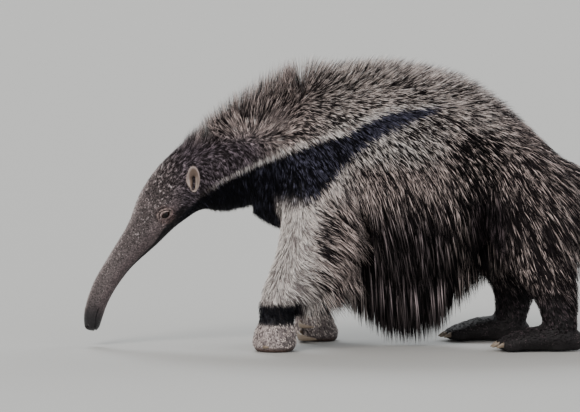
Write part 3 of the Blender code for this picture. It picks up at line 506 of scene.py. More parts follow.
class Anatomy:
    """The runs of the body and legs, and what lies where on them."""

    def __init__(self) -> None:
        """Builds the runs from the tables."""
        rows = [(s.x, 0, s.z, s.up, s.down, s.wide, s.crest, s.side, s.belly) for s in SPINE]
        self.spine = Run(rows, sharp=(1.9, 2.2))
        self.legs: dict[tuple[str, str], Run] = {}
        self.soles: dict[str, Run] = {}
        for name, table in (("fore", FORELEG), ("hind", HINDLEG)):
            for side in SIDES:
                self.legs[name, side] = Run(self._set(table, name, side), level=True)
        for side in SIDES:
            self.soles[side] = Run(self._set(HIND_SOLE, "hind", side))
        eye = np.mean([np.array(v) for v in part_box("eye_left")], axis=0)
        self.shift = eye - self.eye("left")

    @staticmethod
    def _set(table: Sequence[LegSection], name: str, side: str) -> list[tuple[float, ...]]:
        """Sets a leg on its side of the body, with the foot back by its stride.

        Args:
            table: the sections.
            name: fore or hind.
            side: left or right.

        Returns:
            Rows for a run.
        """
        stride, sign = STRIDE[name, side], SIDES[side]
        rows = []
        for s in table:
            lean = min(1.0, max(0.0, (SHOULDER_Z - s.z) / SHOULDER_Z))
            rows.append((s.x + stride * lean, sign * s.y, s.z, s.back, s.front, s.side, s.hair))
        return rows

    def place(self, name: str) -> float:
        """The distance along the spine of a named section.

        Args:
            name: the section's name.

        Returns:
            The distance.
        """
        return float(self.spine.knots[[s.name for s in SPINE].index(name)])

    def eye(self, side: str) -> Array:
        """The centre of an eyeball.

        Args:
            side: left or right.

        Returns:
            The point.
        """
        values, along, depth, sideways = (v[0] for v in self.spine.read([self.place("eye")]))
        on_axis = values[:3] + along * EYE_ALONG - depth * EYE_BELOW
        wide = values[5] * math.sqrt(1 - (EYE_BELOW / values[4]) ** 2) - 0.0020
        return on_axis + sideways * SIDES[side] * (wide - EYE_RADIUS + EYE_STANDS_OUT)

    def eye_axes(self, side: str) -> tuple[Array, Array, Array]:
        """The directions out of an eye, from its front corner to its back one, and up.

        Args:
            side: left or right.

        Returns:
            Three unit vectors.
        """
        _, along, depth, sideways = (v[0] for v in self.spine.read([self.place("eye") + EYE_ALONG]))
        out = unit(sideways * SIDES[side] - depth * 0.34 - along * 0.10)
        fore = unit(along - out * (along @ out))
        over = np.cross(out, fore)
        over = over if over @ depth > 0 else -over
        cosine, sine = math.cos(EYE_TURN), math.sin(EYE_TURN)
        return out, fore * cosine + over * sine, over * cosine - fore * sine

    def from_eyes(self, points: Array) -> Array:
        """How far points are from the nearer eye.

        Args:
            points: rows of points.

        Returns:
            The distances.
        """
        return np.minimum(*(np.linalg.norm(points - self.eye(side), axis=1) for side in SIDES))

    def toe(self, side: str, number: int) -> tuple[float, Array]:
        """Where a hind toe starts.

        Args:
            side: left or right.
            number: the toe's number, from 0.

        Returns:
            How far across the foot it lies, from -1 to 1, and its place on the floor.
        """
        middle = (TOES - 1) / 2
        across = (number - middle) / middle
        sole = self.soles[side]
        x, y = sole.read([sole.length])[0][0, :2]
        return across, np.array([x + 0.010 * across**2, y + 0.029 * across, 0.0])

    def locate(self, points: Array) -> "Places":
        """Says where points lie on the body: how far along and round the spine, and how much on a leg.

        Args:
            points: rows of points near the hide.

        Returns:
            Their places.
        """
        table, table_at = self.spine.table, self.spine.table_at
        nearest = np.empty(len(points), int)
        for start in range(0, len(points), 20000):
            part = points[start : start + 20000]
            gap = (part[:, None, 0] - table[None, :, 0]) ** 2 + (part[:, None, 2] - table[None, :, 2]) ** 2
            nearest[start : start + 20000] = gap.argmin(axis=1)
        at = table_at[nearest]
        values, along, depth, _ = self.spine.read(at)
        away = points - values[:, :3]
        tall = dot(away, depth)
        half_depth = np.where(tall > 0, values[:, 3], values[:, 4])
        angle = np.arctan2(np.abs(points[:, 1]) / values[:, 5], tall / half_depth)
        leg, turn, hair = np.zeros((3, len(points)))
        which = np.full(len(points), -1)
        for number, ((name, side), run) in enumerate(self.legs.items()):
            height = np.clip(points[:, 2], 0.0, 0.40)
            rows = smooth_through(run.knots, run.rows, run.at_height(height))
            ahead = points[:, 0] - rows[:, 0]
            across = (points[:, 1] - rows[:, 1]) * SIDES[side]
            reach = np.hypot(ahead / np.where(ahead > 0, rows[:, 3], rows[:, 4]), across / rows[:, 5])
            weight = ramp(1.45, 1.15, reach) * ramp(0.36, 0.27, points[:, 2])
            if name == "hind":
                low = (points[:, 2] < 0.055) & (np.sign(points[:, 1]) == SIDES[side])
                weight = np.where(low & (points[:, 0] > 0.2) & (points[:, 0] < 0.6), 1.0, weight)
            better = weight > leg
            leg[better], which[better], hair[better] = weight[better], number, rows[better, 6]
            turn[better] = np.arctan2(across[better], ahead[better])
        return Places(points, at, angle, along, values, leg, which, turn, hair)


@dataclass
class Places:
    """Where points lie on the body.

    at and angle are the distance along the spine and the angle from the crest. along and values are the
    spine's direction and section there. leg is how much a point belongs to a leg, which says which leg, turn
    is the angle round it from the back over the outer side, and leg_hair is how long its hair is.
    """

    points: Array
    at: Array
    angle: Array
    along: Array
    values: Array
    leg: Array
    which: Array
    turn: Array
    leg_hair: Array

    def take(self, rows: Array) -> "Places":
        """The places of some of the points.

        Args:
            rows: their numbers.

        Returns:
            The same places for those points alone.
        """
        return Places(*(getattr(self, key)[rows] for key in self.__dataclass_fields__))


@dataclass
class Paint:
    """Colours of hair: dark and pale are the two that hairs alternate between, share is how many are pale."""

    dark: Array
    pale: Array
    share: Array

    def lay(self, mask: Array, dark: Tone, pale: Tone, share: float | Array) -> None:
        """Blends a region's colours over what is there.

        Args:
            mask: how much of the region lies at each point.
            dark: the colour of its dark hairs.
            pale: the colour of its pale hairs.
            share: how many of its hairs are pale.
        """
        self.dark = mix(self.dark, linear(dark)[None], mask)
        self.pale = mix(self.pale, linear(pale)[None], mask)
        self.share = self.share + (share - self.share) * mask


@dataclass(frozen=True)
class Markings:
    """The pattern of the coat, drawn from lines in the side view, in metres."""

    stripe_top: Line = (
        (-0.2700, 0.1950),
        (-0.2220, 0.2570),
        (-0.1923, 0.2838),
        (-0.1442, 0.3154),
        (-0.0769, 0.3481),
        (-0.0192, 0.3731),
        (0.0385, 0.3962),
        (0.0865, 0.4058),
        (0.1385, 0.4385),
        (0.1923, 0.4558),
        (0.2692, 0.4635),
    )
    stripe_low: Line = (
        (-0.0500, 0.1500),
        (-0.0365, 0.2404),
        (-0.0192, 0.2519),
        (0.0096, 0.2673),
        (0.0423, 0.2904),
        (0.0769, 0.3365),
        (0.1154, 0.3770),
        (0.1635, 0.4090),
        (0.2212, 0.4330),
        (0.2788, 0.4600),
    )
    band_wide: Line = (
        (-0.215, 0.000),
        (-0.180, 0.003),
        (-0.100, 0.006),
        (0.000, 0.010),
        (0.100, 0.013),
        (0.200, 0.012),
        (0.285, 0.000),
    )
    soft_edge: float = 0.0035

    def stripe(self, p: Array) -> Array:
        """How much of the dark stripe lies at each point.

        Args:
            p: rows of points.

        Returns:
            Shares from 0 to 1.
        """
        top, low = read_line(self.stripe_top, p[:, 0]), read_line(self.stripe_low, p[:, 0])
        low = np.where(p[:, 0] < -0.045, -1.0, low)
        edge = self.soft_edge
        inside = ramp(edge, -edge, p[:, 2] - top) * ramp(-edge * 1.6, edge * 1.6, p[:, 2] - low)
        return inside * ramp(-0.275, -0.235, p[:, 0]) * ramp(0.285, 0.262, p[:, 0])

    def band(self, p: Array) -> Array:
        """How much of the cream line over the stripe lies at each point.

        Args:
            p: rows of points.

        Returns:
            Shares from 0 to 1.
        """
        over = p[:, 2] - read_line(self.stripe_top, p[:, 0])
        wide = read_line(self.band_wide, p[:, 0])
        soft = ramp(-0.0025, 0.0015, over) * ramp(wide + 0.004, wide * 0.6, over)
        return soft * ramp(0.0005, 0.005, wide)

    def paint(self, place: Places, p: Array) -> Paint:
        """What colours the coat has at each point.

        Args:
            place: the places of the roots.
            p: the points where the colours are read, partway along the hair.

        Returns:
            The colours.
        """
        dark, pale = (np.tile(linear(tone), (len(p), 1)) for tone in (Tone.DARK_BROWN, Tone.TAN))
        paint = Paint(dark, pale, np.full(len(p), 0.50))
        degrees = np.degrees(place.angle)
        fore = place.leg * ((place.which == 0) | (place.which == 1))
        self._trunk(paint, place, p, degrees)
        self._legs(paint, place, p, fore)
        self._tail_and_head(paint, p, degrees)
        x, z = p[:, 0], p[:, 2]
        band = self.band(p) * (1 - fore) * np.interp(x, (-0.18, -0.10), (0.62, 1.0))
        paint.lay(band, Tone.TAN, Tone.BONE, 0.90)
        # The blue-grey strands are painted sheen: highlights on the stripe's glossy black hair, more of them
        # further back.
        sheen_share = np.interp(x, (-0.12, 0.0, 0.10, 0.18), (0.02, 0.26, 0.42, 0.75))
        stripe = self.stripe(p) * (1 - fore * ramp(0.30, 0.26, z))
        paint.lay(stripe, Tone.BLACK_BLUE, Tone.BLUE_GREY, sheen_share)
        paint.share = np.clip(paint.share, 0, 1)
        return paint

    @staticmethod
    def _trunk(paint: Paint, place: Places, p: Array, degrees: Array) -> None:
        """Lays the salted back, the pale shoulder, the paler flank and the dark belly.

        Args:
            paint: the colours so far.
            place: the places of the roots.
            p: the points.
            degrees: how far each lies round the body from its top.
        """
        x, z, lay = p[:, 0], p[:, 2], paint.lay
        lay(ramp(-0.02, 0.10, x), Tone.DARK_BROWN, Tone.CREAM, 0.47)
        crest = ramp(0.05, 0.10, x) * ramp(0.22, 0.17, x) * ramp(0.43, 0.46, z)
        lay(crest, Tone.DARK_BROWN, Tone.CREAM, 0.54)
        lay(ramp(-0.03, -0.10, x) * ramp(0.43, 0.38, z), Tone.DARK_BROWN, Tone.SALT, 0.34)
        lay(ramp(0.06, 0.16, x) * ramp(0.40, 0.33, z), Tone.DARK_BROWN, Tone.TAN, 0.46)
        belly = ramp(0.09, 0.15, x) * ramp(0.29, 0.21, z) * (1 - place.leg)
        lay(belly, Tone.BLACK_BROWN, Tone.GREY_BROWN, 0.27)
        shoulder = ramp(-0.05, -0.03, x) * ramp(0.12, 0.06, x) * ramp(0.40, 0.34, z) * ramp(0.16, 0.20, z)
        lay(shoulder * ramp(140, 110, degrees), Tone.ASH, Tone.BONE, 0.96)
        pale_flank = ramp(0.03, 0.09, x) * ramp(0.30, 0.20, x) * ramp(0.33, 0.37, z) * ramp(0.455, 0.425, z)
        lay(pale_flank * 0.8, Tone.DARK_BROWN, Tone.BONE, 0.46)
        hip = ramp(0.26, 0.33, x) * ramp(0.42, 0.37, x) * ramp(0.43, 0.39, z)
        lay(hip, Tone.BLACK_BROWN, Tone.TAN, 0.15)
        lay(ramp(0.36, 0.44, x), Tone.DARK_BROWN, Tone.TAN, 0.27)

    @staticmethod
    def _legs(paint: Paint, place: Places, p: Array, fore: Array) -> None:
        """Lays the pale forelegs with their dark elbow and cuff, and the dark hind legs and groin.

        Args:
            paint: the colours so far.
            place: the places of the roots.
            p: the points.
            fore: how much each belongs to a foreleg.
        """
        x, z, lay = p[:, 0], p[:, 2], paint.lay
        rear = place.leg * (place.which >= 2)
        ahead = x - STRIDE["fore", "right"] * (place.which == 1) * ramp(SHOULDER_Z, 0.0, z)
        lay(fore, Tone.DARK_BROWN, Tone.TAN, 0.48)
        lay(fore * ramp(0.085, 0.045, ahead), Tone.DARK_BROWN, Tone.CREAM, 0.74)
        front = fore * ramp(0.055, 0.010, ahead)
        lay(front, Tone.ASH, Tone.BONE, np.interp(z, (0.16, 0.23), (0.80, 0.95)))
        elbow = np.hypot(ahead - 0.058, (z - 0.208) * 0.8)
        lay(fore * ramp(0.036, 0.014, elbow) * 0.7, Tone.BLACK_BLUE, Tone.TAN, 0.34)
        cuff = fore * ramp(0.044, 0.054, z) * ramp(0.094, 0.082, z) * ramp(0.022, -0.004, ahead)
        lay(cuff, Tone.BLACK_BLUE, Tone.BLACK_BROWN, 0.10)
        lay(fore * ramp(0.052, 0.044, z), Tone.GREY_BROWN, Tone.CREAM, 0.55)
        lay(fore * ramp(0.010, 0.004, z), Tone.PAD, Tone.PAD, 0.30)
        lay(rear * ramp(0.32, 0.24, z), Tone.DARK_BROWN, Tone.TAN, 0.20)
        lay(rear * ramp(0.14, 0.08, z), Tone.BLACK_BROWN, Tone.BROWN, 0.25)
        groin = ramp(0.30, 0.34, x) * ramp(0.43, 0.38, x) * ramp(0.32, 0.26, z)
        lay(groin * ramp(0.14, 0.18, z), Tone.BLACK_BROWN, Tone.BROWN, 0.30)

    @staticmethod
    def _tail_and_head(paint: Paint, p: Array, degrees: Array) -> None:
        """Lays the tail's plume, the face and snout, the dark jaw and the paler top of the snout.

        Args:
            paint: the colours so far.
            p: the points.
            degrees: how far each lies round the body from its top.
        """
        x, z, lay = p[:, 0], p[:, 2], paint.lay
        tail = ramp(0.50, 0.60, x)
        lay(tail, Tone.DARK_BROWN, Tone.TAN, 0.26)
        lay(tail * ramp(0.24, 0.12, z), Tone.BLACK_BROWN, Tone.BROWN, 0.24)
        lay(ramp(-0.21, -0.27, x), Tone.FACE, Tone.FACE_PALE, 0.24)
        lay(ramp(-0.335, -0.365, x), Tone.FACE, Tone.FACE_PALE, 0.36)
        lay(ramp(-0.362, -0.385, x), Tone.FACE, Tone.FACE_PALE, 0.25)
        lay(ramp(-0.22, -0.24, x) * ramp(84, 122, degrees) * 0.65, Tone.BROWN, Tone.FACE_WARM, 0.50)
        lay(ramp(-0.375, -0.392, x) * ramp(0.110, 0.060, z), Tone.BLACK_BROWN, Tone.BROWN, 0.40)
        jaw = np.interp(x, (-0.37, -0.33, -0.28, -0.24), (176, 152, 138, 116))
        lay(ramp(-0.20, -0.23, x) * ramp(jaw, jaw + 9, degrees), Tone.BLACK_BROWN, Tone.BROWN, 0.08)
        lay(ramp(-0.24, -0.29, x) * ramp(50, 8, degrees) * 0.60, Tone.GREY_BROWN, Tone.CREAM, 0.50)


class Graph:
    """Adds nodes to a material."""

    def __init__(self, name: str) -> None:
        """Makes an empty material.

        Args:
            name: its name.
        """
        self.material = bpy.data.materials.new(name)
        self.material.use_nodes = True
        self.tree = self.material.node_tree
        self.tree.nodes.clear()

    def node(self, kind: str, settings: dict | None = None, inputs: dict | None = None) -> bpy.types.Node:
        """Adds one node with its settings, values and links.

        Args:
            kind: the node's type.
            settings: its properties.
            inputs: a value or an output socket for each input, by name or number.

        Returns:
            The node.
        """
        made = self.tree.nodes.new(kind)
        for key, value in (settings or {}).items():
            setattr(made, key, value)
        for key, value in (inputs or {}).items():
            if isinstance(value, bpy.types.NodeSocket):
                self.tree.links.new(value, made.inputs[key])
            else:
                made.inputs[key].default_value = value
        return made

    def attribute(self, name: str) -> bpy.types.NodeOutputs:
        """Reads an attribute that the mesh carries at its points.

        Args:
            name: its name.

        Returns:
            The outputs, with Color for colours and Fac for values.
        """
        return self.node("ShaderNodeAttribute", {"attribute_name": name}).outputs

    def calculate(self, operation: str, *values: float | bpy.types.NodeSocket) -> bpy.types.NodeSocket:
        """Works out a value.

        Args:
            operation: the kind of maths.
            values: what it takes, in order.

        Returns:
            The result.
        """
        return self.node("ShaderNodeMath", {"operation": operation}, dict(enumerate(values))).outputs[0]

    def noise(self, where: bpy.types.NodeSocket, grain_mm: float, **inputs: float) -> bpy.types.NodeSocket:
        """Adds noise whose spots have a real size.

        Args:
            where: the point in space.
            grain_mm: the size of a spot in millimetres.
            inputs: other inputs by name.

        Returns:
            The noise, from 0 to 1.
        """
        inputs |= {"Vector": where, "Scale": 1000 / grain_mm / 2}
        return self.node("ShaderNodeTexNoise", inputs=inputs).outputs["Fac"]

    def finish(self, inputs: dict) -> bpy.types.Material:
        """Adds the surface and links it to the output.

        Args:
            inputs: the values and links of the surface, by name.

        Returns:
            The material.
        """
        shader = self.node("ShaderNodeBsdfPrincipled", inputs=inputs)
        self.node("ShaderNodeOutputMaterial", inputs={"Surface": shader.outputs[0]})
        return self.material


def rgba(colour: Tone | str) -> tuple[float, float, float, float]:
    """A colour as four linear values.

    Args:
        colour: a tone or a hex string.

    Returns:
        Red, green, blue and 1.
    """
    return (*(float(v) for v in linear(colour)), 1.0)


@dataclass(frozen=True)
class CoarseHair:
    """Coarse dry guard hair: each tuft has its own banded colours, and a low sheen shows how it lies."""

    roughness: float = 0.55
    specular: float = 0.10

    def make(self) -> bpy.types.Material:
        """Builds the material.

        Returns:
            The material.
        """
        g = Graph("coarse_banded_guard_hair")
        colour = g.attribute("Coat")["Color"]
        dry = {"Roughness": self.roughness, "Specular IOR Level": self.specular}
        return g.finish({"Base Color": colour, **dry})


@dataclass(frozen=True)
class HairedHide:
    """Hide under very short flat hair: fine grain breaks up the light, the bare nose is damp and pebbled."""

    name: str = "short_haired_hide_damp_nose"
    grain_mm: float = 1.4
    speckle: tuple[float, float] = (0.42, 1.55)
    pebble_mm: float = 1.5
    crease_mm: float = 5.0
    dry: float = 0.74
    wet: float = 0.22
    specular: float = 0.32

    def make(self) -> bpy.types.Material:
        """Builds the material.

        Returns:
            The material.
        """
        g = Graph(self.name)
        place = g.node("ShaderNodeTexCoord").outputs["Object"]
        bare = g.attribute("Bare")["Fac"]
        grain = g.noise(place, self.grain_mm, Detail=3.0, Roughness=0.65)
        crease = g.noise(place, self.crease_mm, Detail=4.0)
        low, high = self.speckle
        spots = {"Value": grain, "From Min": 0.40, "From Max": 0.61, "To Min": low, "To Max": high}
        speckle = g.node("ShaderNodeMapRange", inputs=spots).outputs[0]
        light = g.node("ShaderNodeMix", {"data_type": "FLOAT"}, {0: bare, 2: speckle, 3: 0.9}).outputs[0]
        tint = {0: g.attribute("Coat")["Color"], "Scale": light}
        tinted = g.node("ShaderNodeVectorMath", {"operation": "SCALE"}, tint)
        rough = g.node("ShaderNodeMapRange", inputs={"Value": bare, "To Min": self.dry, "To Max": self.wet})
        pebble = g.node("ShaderNodeTexVoronoi", inputs={"Vector": place, "Scale": 1000 / self.pebble_mm})
        rhinarium = g.calculate("MULTIPLY", pebble.outputs[0], bare)
        height = g.calculate("MULTIPLY_ADD", crease, 1.6, grain)
        relief = g.calculate("MULTIPLY_ADD", rhinarium, -1.5, height)
        bump = g.node("ShaderNodeBump", inputs={"Height": relief, "Strength": 0.45, "Distance": 0.0009})
        return g.finish(
            {
                "Base Color": tinted.outputs[0],
                "Roughness": rough.outputs[0],
                "Specular IOR Level": self.specular,
                "Normal": bump.outputs[0],
            }
        )


@dataclass(frozen=True)
class WetEye:
    """A nearly black eye under a clear wet cornea, which gives it one sharp glint."""

    roughness: float = 0.10
    specular: float = 0.35
    bend_of_light: float = 1.38

    def make(self) -> bpy.types.Material:
        """Builds the material.

        Returns:
            The material.
        """
        g = Graph("wet_dark_eye")
        zones = {0: g.attribute("Iris")["Fac"], 6: rgba(Tone.IRIS), 7: rgba(Tone.PUPIL)}
        colour = g.node("ShaderNodeMix", {"data_type": "RGBA"}, zones)
        wet = {"Roughness": self.roughness, "Specular IOR Level": self.specular, "IOR": self.bend_of_light}
        return g.finish({"Base Color": colour.outputs[2], **wet})


@dataclass(frozen=True)
class WornHorn:
    """Claw horn worn by walking: grown in long streaks, darker at the root, with a dull shine."""

    streak_mm: float = 0.8
    roughness: float = 0.42

    def make(self) -> bpy.types.Material:
        """Builds the material.

        Returns:
            The material.
        """
        g = Graph("worn_claw_horn")
        place = g.node("ShaderNodeTexCoord").outputs["Object"]
        stretch = g.node("ShaderNodeMapping", inputs={"Vector": place, "Scale": (0.25, 1.0, 1.0)})
        streak = g.noise(stretch.outputs[0], self.streak_mm, Detail=3.0)
        fade = g.calculate("MULTIPLY_ADD", streak, 0.5, g.attribute("Grown")["Fac"])
        ends = {0: fade, 6: rgba(Tone.HORN), 7: rgba(Tone.HORN_PALE)}
        colour = g.node("ShaderNodeMix", {"data_type": "RGBA"}, ends)
        bump = g.node("ShaderNodeBump", inputs={"Height": streak, "Strength": 0.3, "Distance": 0.0004})
        dull = {"Roughness": self.roughness, "Normal": bump.outputs[0]}
        return g.finish({"Base Color": colour.outputs[2], **dull})


@dataclass(frozen=True)
class Plain:
    """A plain matt surface for the studio."""

    name: str
    tone: Tone
    roughness: float = 0.9

    def make(self) -> bpy.types.Material:
        """Builds the material.

        Returns:
            The material.
        """
        return Graph(self.name).finish({"Base Color": rgba(self.tone), "Roughness": self.roughness})


@dataclass
class Surface:
    """A mesh as arrays: points, triangles and a normal for each point."""

    points: Array
    triangles: Array
    normals: Array

    @classmethod
    def of(cls, mesh: bpy.types.Mesh) -> "Surface":
        """Reads a mesh.

        Args:
            mesh: the mesh.

        Returns:
            Its arrays.
        """
        mesh.calc_loop_triangles()
        points = np.empty(len(mesh.vertices) * 3)
        mesh.vertices.foreach_get("co", points)
        normals = np.empty(len(mesh.vertices) * 3)
        mesh.vertices.foreach_get("normal", normals)
        triangles = np.empty(len(mesh.loop_triangles) * 3, np.int32)
        mesh.loop_triangles.foreach_get("vertices", triangles)
        return cls(points.reshape(-1, 3), triangles.reshape(-1, 3), normals.reshape(-1, 3))

    def scatter(
        self, density: Callable[[Array, Array], Array], random: np.random.Generator
    ) -> tuple[Array, Array]:
        """Drops random points on the surface.

        Args:
            density: gives the points wanted per square metre, from the triangles' middles and their normals.
            random: the source of chance.

        Returns:
            The points and their normals.
        """
        corners = self.points[self.triangles]
        first, second = corners[:, 1] - corners[:, 0], corners[:, 2] - corners[:, 0]
        area = np.linalg.norm(np.cross(first, second), axis=1) / 2
        middle_normal = unit(self.normals[self.triangles].mean(axis=1))
        wanted = area * density(corners.mean(axis=1), middle_normal)
        count = random.poisson(wanted)
        chosen = np.repeat(np.arange(len(count)), count)
        a, b = random.random((2, len(chosen)))
        flip = a + b > 1
        a[flip], b[flip] = 1 - a[flip], 1 - b[flip]
        weights = np.stack([1 - a - b, a, b], axis=1)[..., None]
        points = (corners[chosen] * weights).sum(axis=1)
        normals = unit((self.normals[self.triangles[chosen]] * weights).sum(axis=1))
        return points, normals


def set_colour(mesh: bpy.types.Mesh, colours: Array) -> None:
    """Stores a colour at each point of a mesh.

    Args:
        mesh: the mesh.
        colours: rows of linear red, green and blue.
    """
    layer = mesh.attributes.new("Coat", "FLOAT_COLOR", "POINT")
    layer.data.foreach_set("color", np.c_[colours, np.ones(len(colours))].astype(np.float32).ravel())


def set_value(mesh: bpy.types.Mesh, name: str, values: Array) -> None:
    """Stores a value at each point of a mesh.

    Args:
        mesh: the mesh.
        name: the attribute's name.
        values: one value for each point.
    """
    layer = mesh.attributes.new(name, "FLOAT", "POINT")
    layer.data.foreach_set("value", np.asarray(values, np.float32))


def add_piece(
    name: str,
    mesh: bpy.types.Mesh,
    material: bpy.types.Material,
    replaces: Sequence[str] = (),
    smooth: bool = True,
) -> bpy.types.Object:
    """Adds a piece of the animal to the scene.

    Args:
        name: the piece's name.
        mesh: its mesh, in the row frame.
        material: its material.
        replaces: the solids it stands for.
        smooth: whether to shade it smooth.

    Returns:
        The object.
    """
    mesh.materials.clear()
    mesh.materials.append(material)
    if smooth:
        mesh.shade_smooth()
    obj = bpy.data.objects.new(name, mesh)
    bpy.context.scene.collection.objects.link(obj)
    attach(obj, "root")
    if replaces:
        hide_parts(*replaces)
    return obj


def from_bmesh(name: str, mesh: bmesh.types.BMesh) -> bpy.types.Mesh:
    """Turns a bmesh into a mesh and frees it.

    Args:
        name: the mesh's name.
        mesh: the bmesh.

    Returns:
        The mesh.
    """
    data = bpy.data.meshes.new(name)
    mesh.to_mesh(data)
    mesh.free()
    return data


@dataclass
class Skin:
    """The whole hide in one piece, from the nose to the tip of the tail and down to the soles.

    bare, line, rim and nose say how much each point is bare skin, painted shade in a crease, nostril or the
    mouth line, a pale lid partly painted as highlight on its folds, and the nose.
    """

    anatomy: Anatomy
    markings: Markings
    voxel: float = 0.0045
    lid_half_length: float = 0.0082
    lid_half_height: float = 0.0056
    corner_creases: tuple[Line, ...] = (
        ((-1.05, -0.05), (-2.9, -1.0)),
        ((-1.5, -0.7), (-2.6, -1.7)),
        ((1.05, 0.1), (1.9, 0.5)),
    )
    mouth_length: float = 0.036
    mouth_below: float = 0.0075
    toe_length: float = 0.021
    surface: Surface = field(init=False)
    mesh: bpy.types.Mesh = field(init=False)
    bare: Array = field(init=False)
    line: Array = field(init=False)
    rim: Array = field(init=False)
    nose: Array = field(init=False)

    def build(self) -> None:
        """Joins the forms, evens them out and carves the face."""
        rough = self._join()
        mesh = bmesh.new()
        mesh.from_mesh(rough)
        self._relax(mesh, range(len(mesh.verts)), 6)
        self._refine(mesh)
        self.mesh = from_bmesh("skin", mesh)
        self._carve()
        self.surface = Surface.of(self.mesh)
        LOG.info("skin: %d faces", len(self.mesh.polygons))

    def _forms(self) -> list[bmesh.types.BMesh]:
        """The closed forms that the hide is joined from.

        Returns:
            The forms.
        """
        a = self.anatomy
        forms = [a.spine.loft(220, 56, start=0.014, end=0.02)]
        forms += [run.loft(60, 36) for run in a.legs.values()]
        for side, sole in a.soles.items():
            forms.append(sole.loft(24, 28, start=0.008, end=0.010))
            forms += [self._toe(side, number) for number in range(TOES)]
        return forms

    def _toe(self, side: str, number: int) -> bmesh.types.BMesh:
        """One toe of a hind foot.

        Args:
            side: left or right.
            number: the toe's number, from 0.

        Returns:
            Its form.
        """
        root = Vector(self.anatomy.toe(side, number)[1] + np.array([-0.002, 0.0, 0.0135]))
        mesh = bmesh.new()
        bmesh.ops.create_uvsphere(mesh, u_segments=18, v_segments=12, radius=1.0)
        size = Matrix.Diagonal((self.toe_length, 0.0088, 0.0132, 1.0))
        bmesh.ops.transform(mesh, matrix=Matrix.Translation(root) @ size, verts=mesh.verts)
        return mesh

    def _join(self) -> bpy.types.Mesh:
        """Fuses the forms into one even mesh.

        Returns:
            The fused mesh.
        """
        whole = bpy.data.meshes.new("forms")
        mesh = bmesh.new()
        for form in self._forms():
            part = from_bmesh("form", form)
            mesh.from_mesh(part)
            bpy.data.meshes.remove(part)
        mesh.to_mesh(whole)
        mesh.free()
        obj = bpy.data.objects.new("forms", whole)
        bpy.context.scene.collection.objects.link(obj)
        remesh = obj.modifiers.new("even", "REMESH")
        remesh.mode, remesh.voxel_size = "VOXEL", self.voxel
        bpy.context.view_layer.update()
        made = bpy.data.meshes.new_from_object(obj.evaluated_get(bpy.context.evaluated_depsgraph_get()))
        bpy.data.objects.remove(obj, do_unlink=True)
        return made

    @staticmethod
    def _relax(mesh: bmesh.types.BMesh, rows: Sequence[int], times: int) -> None:
        """Smooths points without shrinking the form much.

        Args:
            mesh: the mesh.
            rows: the points to smooth, by number.
            times: how often.
        """
        mesh.verts.index_update()
        edges = np.array([(e.verts[0].index, e.verts[1].index) for e in mesh.edges])
        points = np.array([v.co for v in mesh.verts])
        chosen = np.zeros(len(points))
        chosen[list(rows)] = 1.0
        for _ in range(times):
            for factor in (0.55, -0.57):
                total, count = np.zeros_like(points), np.zeros(len(points))
                np.add.at(total, edges[:, 0], points[edges[:, 1]])
                np.add.at(total, edges[:, 1], points[edges[:, 0]])
                np.add.at(count, edges.ravel(), 1)
                points = points + (total / count[:, None] - points) * factor * chosen[:, None]
        for vert, point in zip(mesh.verts, points):
            vert.co = point

    def _refine(self, mesh: bmesh.types.BMesh) -> None:
        """Splits faces finer on the head, and finer still round the eyes, nostrils and mouth.

        Args:
            mesh: the mesh.
        """
        tip = self.anatomy.spine.table[0, :3] + np.array([0, 0, 0.004])
        rounds = (
            lambda p: p[:, 0] < -0.165,
            lambda p: self.anatomy.from_eyes(p) < 0.030,
            lambda p: np.linalg.norm(p - tip, axis=1) < 0.052,
            lambda p: self.anatomy.from_eyes(p) < 0.019,
        )
        for inside in rounds:
            points = np.array([v.co for v in mesh.verts])
            chosen = inside(points)
            mesh.verts.index_update()
            edges = [e for e in mesh.edges if chosen[e.verts[0].index] and chosen[e.verts[1].index]]
            bmesh.ops.subdivide_edges(mesh, edges=edges, cuts=1, use_grid_fill=True)
            mesh.verts.index_update()
            near = [v.index for v, p in zip(mesh.verts, inside(np.array([v.co for v in mesh.verts]))) if p]
            self._relax(mesh, near, 3)
        bmesh.ops.triangulate(mesh, faces=[f for f in mesh.faces if len(f.verts) > 4])

    def _carve(self) -> None:
        """Shapes the sockets, lids, folds, nostrils and mouth, and flattens the soles."""
        surface = Surface.of(self.mesh)
        p, n = surface.points.copy(), surface.normals
        self.bare, self.line, self.rim = np.zeros((3, len(p)))
        for side in SIDES:
            p = self._lids(p, side)
        p = self._muscles(p, n)
        p = self._nose(p, n)
        p[:, 2] = np.maximum(p[:, 2], 0.0)
        self.mesh.vertices.foreach_set("co", p.ravel())
        self.mesh.update()

